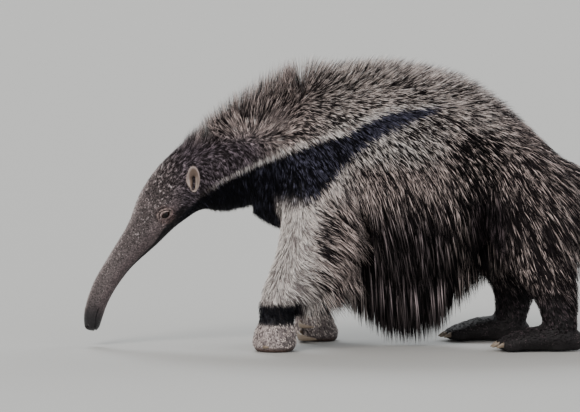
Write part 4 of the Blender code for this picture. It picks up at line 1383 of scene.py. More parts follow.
    def _lids(self, p: Array, side: str) -> Array:
        """Opens the lids over one eye and lays the folds round them.

        Args:
            p: the points.
            side: left or right.

        Returns:
            The moved points.
        """
        centre = self.anatomy.eye(side)
        out, fore, over = self.anatomy.eye_axes(side)
        away = p - centre
        a, b, c = away @ fore, away @ over, away @ out
        near = (np.abs(a) < 0.032) & (np.abs(b) < 0.032) & (c > -0.012)
        high = np.where(b > 0, self.lid_half_height, self.lid_half_height * 0.86)
        turn = np.arctan2(b / high, a / self.lid_half_length)
        spread = np.hypot(a / self.lid_half_length, b / high)
        flat = np.hypot(a, b)
        ball = np.sqrt(np.maximum(EYE_RADIUS**2 - flat**2, 0.0))
        hug = np.maximum(ball, EYE_RADIUS * 0.30) + 0.0011
        wanted = mix_values(c, hug, ramp(1.9, 1.15, spread))
        ring = spread * (1.0 + 0.07 * np.sin(2 * turn + 0.7) + 0.04 * np.sin(3 * turn - 1.0))
        upper, lower = ramp(-0.25, 0.45, np.sin(turn)), ramp(0.25, -0.45, np.sin(turn))
        brow = upper * ramp(0.75, -0.2, np.cos(turn))
        bag = lower * ramp(-0.9, 0.1, np.cos(turn))
        fold = 0.0015 * bump_at(ring, 1.28, 0.15)
        fold += upper * (0.0016 * bump_at(ring, 1.95, 0.20) - 0.0020 * bump_at(ring, 1.60, 0.12))
        fold += brow * (0.0014 * bump_at(ring, 2.95, 0.28) - 0.0019 * bump_at(ring, 2.45, 0.14))
        fold += bag * (0.0018 * bump_at(ring, 1.78, 0.20) - 0.0021 * bump_at(ring, 2.25, 0.15))
        corner = np.zeros(len(p))
        for start, end in self.corner_creases:
            span = np.array(end) - start
            at = np.stack([a, b], axis=1) / self.lid_half_length - start
            reach = np.clip(at @ span / (span @ span), 0, 1)
            gap = np.linalg.norm(at - reach[:, None] * span, axis=1)
            corner = np.maximum(corner, np.exp(-((gap / 0.15) ** 2)) * (1 - 0.6 * reach))
        wanted = wanted + fold * ramp(3.6, 2.8, ring) - 0.0014 * corner
        hollow = ramp(1.06, 0.92, spread)
        wanted = mix_values(wanted, np.minimum(ball, wanted) - 0.0042, hollow)
        moved = p + out * (wanted - c)[:, None]
        self.bare = np.where(near, np.maximum(self.bare, ramp(1.5, 1.05, spread) * 0.6), self.bare)
        creases = upper * bump_at(ring, 1.58, 0.13) + brow * 0.8 * bump_at(ring, 2.45, 0.15)
        creases = np.clip(creases + bag * 0.9 * bump_at(ring, 2.25, 0.16), 0, 1)
        # The lid opening and the creases are darkened as painted shade.
        dark = np.maximum(np.maximum(ramp(1.16, 1.02, spread), creases * 0.8), corner * 0.85)
        self.line = np.where(near, np.maximum(self.line, dark), self.line)
        # Pale lid rims and upper fold: the lid's own paler skin, with painted highlight on the raised folds,
        # stronger above.
        pale = bump_at(ring, 1.34, 0.13) * (0.55 + 0.45 * upper) + upper * bump_at(ring, 2.02, 0.16) * 0.7
        self.rim = np.where(near, np.maximum(self.rim, np.clip(pale, 0, 1)), self.rim)
        return np.where((near & (spread < 3.6))[:, None], moved, p)

    def _muscles(self, p: Array, n: Array) -> Array:
        """Gives the cheek, brow and jaw their swells and hollows.

        Args:
            p: the points.
            n: their normals.

        Returns:
            The moved points.
        """
        swell = np.zeros(len(p))
        for side, sign in SIDES.items():
            eye = self.anatomy.eye(side)
            same = np.sign(p[:, 1]) == sign
            for dx, dz, size, amount in (
                (-0.012, 0.022, 0.016, 0.0022),
                (0.030, -0.022, 0.020, 0.0030),
                (-0.026, -0.018, 0.015, -0.0022),
                (-0.050, -0.040, 0.018, 0.0012),
                (0.016, 0.012, 0.012, -0.0014),
            ):
                gap = np.hypot(p[:, 0] - eye[0] - dx, p[:, 2] - eye[2] - dz)
                swell += np.where(same, amount * np.exp(-((gap / size) ** 2)), 0.0)
        head = ramp(-0.15, -0.18, p[:, 0])
        clear = ramp(0.012, 0.020, self.anatomy.from_eyes(p))
        return p + n * (swell * head * clear * np.abs(n[:, 1]))[:, None]

    def _nose(self, p: Array, n: Array) -> Array:
        """Carves the nostrils and the line of the mouth at the end of the snout.

        Args:
            p: the points.
            n: their normals.

        Returns:
            The moved points.
        """
        spine = self.anatomy.spine
        values, along, depth, _ = (v[0] for v in spine.read([0.0]))
        away = p - values[:3]
        tall, ahead = away @ depth, away @ along
        push = np.zeros(len(p))
        inside = np.zeros(len(p))
        for sign in (-1, 1):
            beside = (p[:, 1] * sign - 0.0105) / 0.0062
            slit = np.stack([(ahead + 0.0070) / 0.0034, (tall - 0.0070) / 0.0050, beside], axis=1)
            reach = np.linalg.norm(slit, axis=1)
            push -= 0.0034 * ramp(1.05, 0.40, reach)
            inside = np.maximum(inside, ramp(1.1, 0.85, reach))
            push += 0.0009 * np.exp(-(((reach - 1.35) / 0.22) ** 2))
            self.bare = np.maximum(self.bare, ramp(2.0, 1.4, reach))
            # The nostril is darkened as painted shade in its hole.
            self.line = np.maximum(self.line, ramp(1.1, 0.8, reach))
        rows, alongs, depths, _ = spine.read(np.linspace(0, 0.06, 40))
        near = ahead < 0.075
        where = np.argmin(((p[near][:, None] - rows[None, :, :3]) ** 2).sum(axis=2), axis=1)
        level = dot(p[near] - rows[where, :3], depths[where]) + self.mouth_below
        reach = np.linspace(0, 0.06, 40)[where]
        open_share = ramp(self.mouth_length + 0.004, self.mouth_length - 0.006, reach)
        groove = np.exp(-((level / 0.0010) ** 2)) * open_share
        lips = np.exp(-(((np.abs(level) - 0.0024) / 0.0012) ** 2)) * open_share
        push[near] += -0.0016 * groove + 0.0007 * lips
        # The mouth groove is darkened as painted shade.
        self.line[near] = np.maximum(self.line[near], groove)
        tip = ramp(0.046, 0.018, np.linalg.norm(p - values[:3] + along * 0.006 - depth * 0.002, axis=1))
        self.bare = np.maximum(self.bare, tip) * (1 - inside)
        self.nose = tip
        return p + n * push[:, None]

    def dress(self, material: bpy.types.Material) -> bpy.types.Object:
        """Colours the skin, dimmed under longer hair as painted shade of the coat, and adds it to the scene.

        Args:
            material: the hide.

        Returns:
            The object.
        """
        place = self.anatomy.locate(self.surface.points)
        paint = self.markings.paint(place, self.surface.points)
        # Under longer hair the skin gets fewer pale spots and is dimmed: painted shade beneath the coat.
        furry = ramp(0.004, 0.02, place.values[:, 7])
        share = paint.share * (0.60 - 0.25 * furry)
        colour = mix(paint.dark, paint.pale, share) * (0.85 - 0.3 * furry)[:, None]
        round_eyes = ramp(0.024, 0.014, self.anatomy.from_eyes(self.surface.points))
        colour = mix(colour, linear(Tone.FACE_WARM)[None], round_eyes * 0.6)
        # Lids paled, partly as painted highlight on their folds.
        colour = mix(colour, linear(Tone.LID_PALE_AND_HIGHLIGHT)[None], self.rim * 0.8)
        # The nose's own dark tone, also laid on the lines as painted shade in creases, nostrils and the mouth.
        colour = mix(colour, linear(Tone.NOSE_AND_CREASE_SHADE)[None], np.maximum(self.nose, self.line * 0.85))
        set_colour(self.mesh, colour)
        set_value(self.mesh, "Bare", self.bare)
        self.mesh.transform(Matrix.Translation(Vector(self.anatomy.shift)))
        nodes = ["head", "neck", "torso", "tail_root", "tail_middle", "tail_end"]
        limbs = ("foreleg", "forefoot", "hindleg", "hindfoot")
        nodes += [f"{part}_{side}" for part in limbs for side in SIDES]
        return add_piece("skin", self.mesh, material, nodes)


@dataclass(frozen=True)
class Clump:
    """A kind of tuft: how many rings it has between its base and its tip, and how it tapers."""

    times: tuple[float, ...]
    widths: tuple[float, ...]


BAKE_PATCH = 0.003
SPIKE = Clump((0.0,), (1.0,))
SHORT = Clump((0.0, 0.66), (0.9, 0.95))
LONG = Clump((0.0, 0.35, 0.72), (0.8, 1.0, 0.62))


@dataclass
class Tufts:
    """Many tufts as arrays, ready to be made into one mesh.

    Each grows from its root along lie, lifted off the skin by stand, bends back to the skin and droops.
    """

    roots: Array
    normals: Array
    lie: Array
    length: Array
    wide: Array
    stand: Array
    droop: Array
    colours: tuple[Array, Array, Array]
    unwrap: Array
    gather: Array
    bend: Array

    def path(self, t: float) -> Array:
        """The middle of every tuft partway along it.

        Args:
            t: 0 at the root and 1 at the tip.

        Returns:
            The points.
        """
        flat, rise = np.cos(self.stand), np.sin(self.stand)
        along = self.lie * flat[:, None] * t + self.normals * (rise * (t - self.bend * t * t))[:, None]
        bent = DOWN * self.droop[:, None] + self.gather
        return self.roots + self.length[:, None] * along + bent * (t * t)

    def keep_over(self, floor: float) -> None:
        """Shortens tufts whose tips would pass under a height.

        Args:
            floor: the lowest height allowed.
        """
        for _ in range(3):
            drop = self.roots[:, 2] - self.path(1.0)[:, 2]
            room = np.maximum(self.roots[:, 2] - floor, 0.0006)
            share = np.where(drop > room, room / np.maximum(drop, 1e-6), 1.0)
            self.length *= share
            self.droop *= share

    def mesh(self, name: str, clump: Clump, shift: Array) -> bpy.types.Mesh:
        """Builds all tufts as closed three-sided horns.

        Args:
            name: the mesh's name.
            clump: their kind.
            shift: what moves them into the row frame.

        Returns:
            The mesh, with its colours and its map for baking.
        """
        count, rings = len(self.roots), len(clump.times)
        side = unit(np.cross(self.lie, self.normals))
        per = rings * 3 + 1
        points = np.empty((count, per, 3))
        shades = np.empty((count, per, 3))
        for k, (t, share) in enumerate(zip(clump.times, clump.widths)):
            middle = self.path(t) - (self.normals * 0.0012 if k == 0 else 0.0)
            half = (self.wide * share / 2)[:, None]
            points[:, 3 * k] = middle - side * half
            points[:, 3 * k + 1] = middle + side * half
            points[:, 3 * k + 2] = middle + self.normals * half * 0.75
            shade = self.colours[0] if k == 0 and rings > 1 else self.colours[1]
            shades[:, 3 * k : 3 * k + 3] = shade[:, None]
        points[:, -1], shades[:, -1] = self.path(1.0), self.colours[2]
        faces = [(0, 1, 2)]
        for k in range(rings - 1):
            for j in range(3):
                a, b = 3 * k + j, 3 * k + (j + 1) % 3
                faces += [(a, a + 3, b), (b, a + 3, b + 3)]
        top = 3 * (rings - 1)
        faces += [(top + j, per - 1, top + (j + 1) % 3) for j in range(3)]
        faces_at = np.array(faces)
        corners = (faces_at[None] + (np.arange(count) * per)[:, None, None]).reshape(-1)
        data = bpy.data.meshes.new(name)
        data.vertices.add(count * per)
        data.vertices.foreach_set("co", (points.reshape(-1, 3) + shift).ravel())
        data.loops.add(len(corners))
        data.loops.foreach_set("vertex_index", corners.astype(np.int32))
        data.polygons.add(count * len(faces))
        data.polygons.foreach_set("loop_start", np.arange(0, len(corners), 3, dtype=np.int32))
        data.update(calc_edges=True)
        set_colour(data, shades.reshape(-1, 3))
        self._unwrap(data, clump, faces_at, per)
        return data

    def _unwrap(self, data: bpy.types.Mesh, clump: Clump, faces_at: Array, per: int) -> None:
        """Lays each tuft's patch at its root's place on the skin's own unwrap.

        Args:
            data: the mesh.
            clump: the kind of tuft.
            faces_at: the corners of one tuft's faces.
            per: the points of one tuft.
        """
        local = np.empty((per, 2))
        for k, t in enumerate(clump.times):
            local[3 * k : 3 * k + 3] = np.array([(0.0, t), (1.0, t), (0.5, t)])
        local[-1] = (0.5, 1.0)
        layer = data.uv_layers.new(name="OFBake")
        at = self.unwrap[:, None, None] + (local[faces_at][None] - 0.5) * BAKE_PATCH
        layer.data.foreach_set("uv", at.reshape(-1).astype(np.float32))


@dataclass(frozen=True)
class Region:
    """One piece of the coat: where its roots lie and what its tufts are like.

    On the trunk they lie from low to high in x, on both sides or one, and between two angles from the top.
    legs names the pair of legs that it covers instead. bunch is how many tufts hang together in a lock, alike
    the share of them that take the lock's colour, and shade how much the locks differ in light.
    """

    name: str
    low: float = 0.0
    high: float = 0.0
    side: str = ""
    angles: tuple[float, float] = (-1.0, 4.0)
    legs: str = ""
    slot: str = "body_coat"
    clump: Clump = SHORT
    bunch: int = 3
    alike: float = 0.70
    shade: float = 0.16

    def holds(self, place: Places) -> Array:
        """Picks the region's roots.

        Args:
            place: the places of all roots.

        Returns:
            True for each of its own.
        """
        if self.legs:
            return (place.leg > 0.5) & ((place.which < 2) == (self.legs == "fore"))
        x, y = place.points[:, 0], place.points[:, 1]
        here = (place.leg <= 0.5) & (x >= self.low) & (x < self.high)
        here &= (place.angle > self.angles[0]) & (place.angle <= self.angles[1])
        return here & ((y < 0) == (SIDES[self.side] < 0)) if self.side else here


REGIONS = (
    Region("coat_head", -1.0, HEAD_END, slot="face", clump=SPIKE, bunch=7, alike=0.92, shade=0.34),
    Region("coat_mane", HEAD_END, MANE_END, angles=(-1.0, MANE_ANGLE)),
    Region(
        "coat_neck", HEAD_END, MANE_END, angles=(MANE_ANGLE, 4.0), clump=SPIKE, bunch=5, alike=0.85, shade=0.30
    ),
    Region("coat_withers_left", MANE_END, 0.14, "left"),
    Region("coat_withers_right", MANE_END, 0.14, "right"),
    Region("coat_flank_left", 0.14, 0.31, "left"),
    Region("coat_flank_right", 0.14, 0.31, "right"),
    Region("coat_rump", 0.31, 0.53),
    Region("coat_tail_upper", 0.53, 0.82, slot="tail_coat", clump=LONG, bunch=6),
    Region("coat_tail_lower", 0.82, 2.0, slot="tail_coat", clump=LONG, bunch=6),
    Region("coat_legs_fore", legs="fore", slot="pale_coat"),
    Region("coat_legs_hind", legs="hind"),
)


@dataclass
class Coat:
    """All hair of the animal, laid along the body as fields over the skin.

    The densities are tufts per square centimetre, by x on the trunk. slant and plume are how steeply the
    hair of the trunk and tail runs down, by degrees round them, and forearm and thigh by radians round the
    leg. The lines of a tuft are read by its length.
    """

    anatomy: Anatomy
    markings: Markings
    surface: Surface
    seed: int = 4
    plenty: float = 1.0
    floor: float = 0.003
    trunk_density: Line = (
        (-0.40, 56),
        (-0.36, 62),
        (-0.20, 60),
        (-0.191, 50),
        (-0.189, 19),
        (0.0, 17),
        (0.45, 16),
        (0.60, 17),
        (1.2, 20),
    )
    neck_density: float = 50.0
    leg_density: float = 8.5
    slant: Line = ((0, 4), (30, 16), (60, 36), (90, 60), (112, 78), (135, 84), (180, 86))
    plume: Line = ((0, -6), (30, 4), (60, 26), (110, 50), (180, 64))
    forearm: Line = ((0, 38), (0.5, 44), (1.0, 58), (1.6, 66), (2.0, 40), (2.35, -4), (3.14, -12))
    thigh: Line = ((0, 32), (1, 32), (2, 26), (3.14, 12))
    tuft_sway: Line = ((0.004, 0.20), (0.03, 0.15), (0.12, 0.07))
    tuft_wide: Line = (
        (0.002, 0.0008),
        (0.005, 0.0011),
        (0.02, 0.0010),
        (0.05, 0.0011),
        (0.12, 0.0021),
        (0.24, 0.0042),
    )
    tuft_droop: Line = ((0.02, 0.0), (0.06, 0.004), (0.12, 0.014), (0.24, 0.034))
    tuft_gather: Line = ((0.004, 0.20), (0.02, 0.22), (0.05, 0.30), (0.10, 0.65))

    def density(self, p: Array, n: Array) -> Array:
        """How many tufts grow per square metre.

        Args:
            p: points on the skin.
            n: their normals.

        Returns:
            The densities.
        """
        x = p[:, 0]
        body = read_line(self.trunk_density, x)
        place = self.anatomy.locate(p)
        neck = (x > HEAD_END) & (x < MANE_END) & (place.angle > MANE_ANGLE)
        body = np.where(neck, self.neck_density, body)
        body = mix_values(body, self.leg_density, place.leg * (x > -0.15))
        body = np.where((p[:, 2] < 0.012) & (n[:, 2] < -0.3), 0.0, body)
        tip = self.anatomy.spine.table[0, :3]
        body = body * ramp(0.0115, 0.016, self.anatomy.from_eyes(p))
        body = body * ramp(0.016, 0.026, np.linalg.norm(p - tip, axis=1))
        feet = (place.leg > 0.9) & (p[:, 2] < 0.03)
        return np.where(feet, body * 1.2, body) * 1e4 * self.plenty

    def lengths(self, place: Places) -> Array:
        """How long the hair is.

        Args:
            place: the places of the roots.

        Returns:
            The lengths.
        """
        degrees = np.degrees(place.angle)
        crest, side, belly = place.values[:, 6], place.values[:, 7], place.values[:, 8]
        crest = crest * read_line(TOP_HAIR, place.points[:, 0], GAIN)
        side = side * (1 - 0.28 * bump_at(place.points[:, 0], -0.13, 0.07))
        throat = ramp(-0.22, -0.17, place.points[:, 0]) * ramp(0.01, -0.04, place.points[:, 0])
        belly = np.maximum(belly, 0.021 * throat)
        upper = mix_values(crest, side, ramp(12, 65, degrees))
        trunk = mix_values(upper, belly, ramp(88, 128, degrees))
        z = place.points[:, 2]
        rear = ramp(1.45, 0.6, np.abs(place.turn)) * ramp(0.075, 0.11, z)
        leg = place.leg_hair * (1.0 + rear * np.where(place.which < 2, 1.9 * ramp(0.34, 0.25, z), 0.6))
        near_whorl = np.linalg.norm((place.points - WHORL) * np.array([1.0, 0.0, 1.0]), axis=1)
        trunk = trunk * (1 - 0.30 * ramp(0.030, 0.006, near_whorl))
        return mix_values(trunk, leg, place.leg)

    def directions(self, place: Places, normals: Array) -> Array:
        """Which way the hair lies.

        Args:
            place: the places of the roots.
            normals: the skin's normals there.

        Returns:
            Unit vectors along the skin.
        """
        degrees = np.degrees(place.angle)
        x = place.points[:, 0]
        tail = ramp(0.50, 0.66, x)
        slant, plume = read_line(self.slant, degrees), read_line(self.plume, degrees)
        over_hip = ramp(0.34, 0.42, x) * ramp(0.62, 0.52, x) * ramp(4, 26, degrees) * ramp(100, 60, degrees)
        turn = np.radians(mix_values(slant, plume, tail) + 22 * over_hip) * ramp(-0.30, -0.12, x)
        way = place.along * np.cos(turn)[:, None] + DOWN * np.sin(turn)[:, None]
        away = (place.points - WHORL) * np.array([1.0, 0.0, 1.0])
        swirl = ramp(0.125, 0.050, np.linalg.norm(away, axis=1)) * ramp(0.384, 0.416, place.points[:, 2])
        swirl *= ramp(0.03, -0.02, x) * ramp(-0.23, -0.17, x) * ramp(16, 40, degrees)
        fan = np.array([0.006, 0.0, 0.026])
        way = mix(way, unit(away + fan), swirl)
        leg = self._leg_directions(place)
        foot = np.array([-1.0, 0.0, -0.25])
        hind_foot = (place.which >= 2) & (place.points[:, 2] < 0.045)
        leg = np.where(hind_foot[:, None], foot, leg)
        way = mix(way, leg, place.leg)
        flat = way - normals * dot(way, normals)[:, None]
        hang = ramp(0.55, 0.25, np.linalg.norm(flat, axis=1))
        return unit(mix(unit(flat), unit(way), hang * ramp(-0.06, 0.03, x)))

    def _leg_directions(self, place: Places) -> Array:
        """Which way the hair of the legs lies: back over the forearm from a parting, and down elsewhere.

        Args:
            place: the places of the roots.

        Returns:
            Unit vectors.
        """
        turn, z = np.abs(place.turn), place.points[:, 2]
        forearm = read_line(self.forearm, turn)
        forearm = mix_values(np.full(len(z), 22.0), forearm, ramp(0.33, 0.24, z) * ramp(0.085, 0.14, z))
        lean = np.radians(np.where(place.which < 2, forearm, read_line(self.thigh, turn)))
        return DOWN * np.cos(lean)[:, None] + np.array([1.0, 0.0, 0.0]) * np.sin(lean)[:, None]

    def stands(self, place: Places) -> Array:
        """How steeply the hair leaves the skin.

        Args:
            place: the places of the roots.

        Returns:
            Angles.
        """
        x, degrees = place.points[:, 0], np.degrees(place.angle)
        crest, flank = read_line(TOP_HAIR, x, STAND), read_line(SIDE_HAIR, x, STAND)
        angle = mix_values(crest, flank, ramp(15, 60, degrees))
        throat = 16.0 + 22.0 * ramp(-0.22, -0.17, x) * ramp(0.01, -0.04, x)
        angle = mix_values(angle, np.minimum(angle + throat - 16.0, throat), ramp(75, 115, degrees))
        return np.radians(mix_values(angle, 17.0, place.leg))

    def unwrap(self, place: Places, region: Region) -> Array:
        """Where roots fall on an unwrap of the skin: along the body by round it, or down a leg by round it.

        Args:
            place: the places of the roots.
            region: the piece of coat.

        Returns:
            Places on a map from 0 to 1.
        """
        if region.legs:
            u = ((place.turn / (2 * math.pi) + 0.5) * 0.46 + 0.02) + 0.5 * (place.which % 2)
            v = place.points[:, 2] / 0.42
        else:
            sign = np.sign(place.points[:, 1])
            u = (place.at - place.at.min()) / max(np.ptp(place.at), 1e-6)
            v = 0.5 + sign * place.angle / (2 * math.pi)
        return np.clip(np.stack([u, v], axis=1) * 0.99 + 0.005, 0.003, 0.997)

    def grow(self, hair: bpy.types.Material) -> None:
        """Scatters the roots, works out every tuft and adds the pieces.

        Args:
            hair: the material.
        """
        random = np.random.default_rng(self.seed)
        roots, normals = self.surface.scatter(self.density, random)
        place = self.anatomy.locate(roots)
        LOG.info("coat: %d roots", len(roots))
        for region in REGIONS:
            rows = np.flatnonzero(region.holds(place))
            tufts = self._tufts(place.take(rows), normals[rows], region, random)
            mesh = tufts.mesh(region.name, region.clump, self.anatomy.shift)
            add_piece(region.name, mesh, hair, smooth=False)
            LOG.info("%s: %d tufts, %d triangles", region.name, len(rows), len(mesh.polygons))

    def _tufts(self, place: Places, normals: Array, region: Region, random: np.random.Generator) -> Tufts:
        """Works out the tufts of one piece.

        Args:
            place: the places of the roots.
            normals: the skin's normals there.
            region: the piece of coat.
            random: the source of chance.

        Returns:
            The tufts.
        """
        count = len(place.at)
        length = self.lengths(place) * random.uniform(0.72, 1.12, count)
        lie = self.directions(place, normals)
        lock = self._locks(place.points, region.bunch, random)
        sway = random.normal(0.0, 1.0, count) * 0.6 + random.normal(0.0, 1.0, count)[lock] * 0.8
        sway *= read_line(self.tuft_sway, length)
        lie = unit(lie + np.cross(lie, normals) * sway[:, None])
        stand = self.stands(place)
        loose = ramp(0.9, 0.3, stand)
        stand = stand * random.uniform(1 - 0.12 - 0.15 * loose, 1.12 + 0.15 * loose)
        stand = stand * random.uniform(1 - 0.1 - 0.2 * loose, 1.1 + 0.2 * loose)[lock]
        wide, droop = read_line(self.tuft_wide, length), read_line(self.tuft_droop, length)
        gather = place.points[lock] - place.points
        gather -= lie * dot(gather, lie)[:, None]
        gather *= read_line(self.tuft_gather, length)[:, None]
        dull = np.zeros((count, 3))
        tufts = Tufts(
            roots=place.points,
            normals=normals,
            lie=lie,
            length=length,
            wide=wide * random.uniform(0.75, 1.25, count),
            stand=stand,
            droop=droop * random.uniform(0.6, 1.3, count),
            colours=(dull, dull, dull),
            unwrap=self.unwrap(place, region),
            gather=gather,
            bend=mix_values(np.full(count, 0.42), 0.10, ramp(0.60, 0.95, stand)),
        )
        tufts.keep_over(self.floor)
        blur = random.normal(0.0, 1.0, (count, 3)) * (0.0006 + 0.05 * np.minimum(length, 0.06))[:, None]
        paint = self.markings.paint(place, tufts.path(0.78) + blur)
        shade = random.normal(0.0, 1.0, count)[lock]
        paint.share = np.clip(paint.share + 0.22 * shade * np.sqrt(paint.share), 0, 1)
        alike = random.random(count) < region.alike
        chance = np.where(alike, random.random(count)[lock], random.random(count))
        tufts.colours = self._colours(paint, random, length, np.exp(region.shade * shade), chance)
        return tufts

    @staticmethod
    def _locks(roots: Array, bunch: int, random: np.random.Generator) -> Array:
        """Gathers roots into locks round a root chosen by chance.

        Args:
            roots: where the tufts grow.
            bunch: how many tufts a lock has on average.
            random: the source of chance.

        Returns:
            The number of the root in the middle of each tuft's lock.
        """
        middles = np.flatnonzero(random.random(len(roots)) < 1 / bunch)
        tree = KDTree(len(middles))
        for middle in middles:
            tree.insert(roots[middle], int(middle))
        tree.balance()
        return np.array([tree.find(root)[1] for root in roots])

    @staticmethod
    def _colours(
        paint: Paint, random: np.random.Generator, length: Array, light: Array, chance: Array
    ) -> tuple[Array, Array, Array]:
        """Gives each tuft the colours of its root, middle and tip, dark or pale by chance, with the roots
        dimmed as painted shade between the hairs.

        Args:
            paint: the markings at the tufts.
            random: the source of chance.
            length: the tufts' lengths.
            light: how light the lock of each tuft is.
            chance: numbers from 0 to 1, where those under the share of pale hairs make pale tufts.

        Returns:
            Colours of the roots, middles and tips.
        """
        count = len(paint.share)
        is_pale = (chance < paint.share).astype(float)
        bright, dull = random.uniform(0.75, 1.62, count), random.uniform(0.35, 1.05, count)
        light = np.where(is_pale > 0, bright, dull) * light
        light = light * (1 + 0.36 * ramp(0.84, 0.96, paint.share))
        chosen = mix(paint.dark, paint.pale, is_pale) * light[:, None]
        bleached = ramp(0.62, 0.85, paint.share)
        banded = is_pale * (random.random(count) < 0.66 - 0.5 * bleached)
        tip = mix(chosen, paint.dark, banded)
        lifted = (1 - is_pale) * (random.random(count) < 0.52 * paint.share)
        tip = mix(tip, paint.pale, lifted * 0.8)
        # Roots: partly the hair's own darker base, dimmed further as painted shade between the hairs.
        root = mix(paint.dark, chosen, 0.35 + 0.5 * bleached) * (0.45 + 0.45 * bleached)[:, None]
        short = ramp(0.012, 0.004, length)
        root = mix(root, chosen, short * 0.7)
        limit = 0.92 / np.maximum(chosen.max(axis=1), 0.92)[:, None]
        return root * limit, chosen * limit, np.minimum(tip, 0.95)


@dataclass
class Eyes:
    """Two eyeballs with a dark iris and a bulging cornea; fit makes them a little smaller than the socket."""

    anatomy: Anatomy
    fit: float = 0.985
    cornea: float = 0.0007
    cornea_from: float = 0.78

    def build(self, material: bpy.types.Material) -> None:
        """Adds both eyes.

        Args:
            material: the eye.
        """
        for side in SIDES:
            out, _, _ = self.anatomy.eye_axes(side)
            mesh = bmesh.new()
            bmesh.ops.create_uvsphere(mesh, u_segments=48, v_segments=32, radius=1.0)
            spin = Vector((0, 0, 1)).rotation_difference(Vector(out)).to_matrix().to_4x4()
            bulge = []
            for vert in mesh.verts:
                front = max(0.0, vert.co.z)
                bulge.append(front)
                lift = max(0.0, (front - self.cornea_from) / (1 - self.cornea_from))
                vert.co *= EYE_RADIUS * self.fit + self.cornea * lift
            socket = Matrix.Translation(Vector(self.anatomy.eye(side) + self.anatomy.shift)) @ spin
            bmesh.ops.transform(mesh, matrix=socket, verts=mesh.verts)
            data = from_bmesh(f"eye_{side}", mesh)
            set_value(data, "Iris", ramp(0.90, 0.95, np.array(bulge)))
            add_piece(f"eyeball_{side}", data, material, [f"eye_{side}"])
            LOG.info("eyeball_%s: %d faces", side, len(data.polygons))


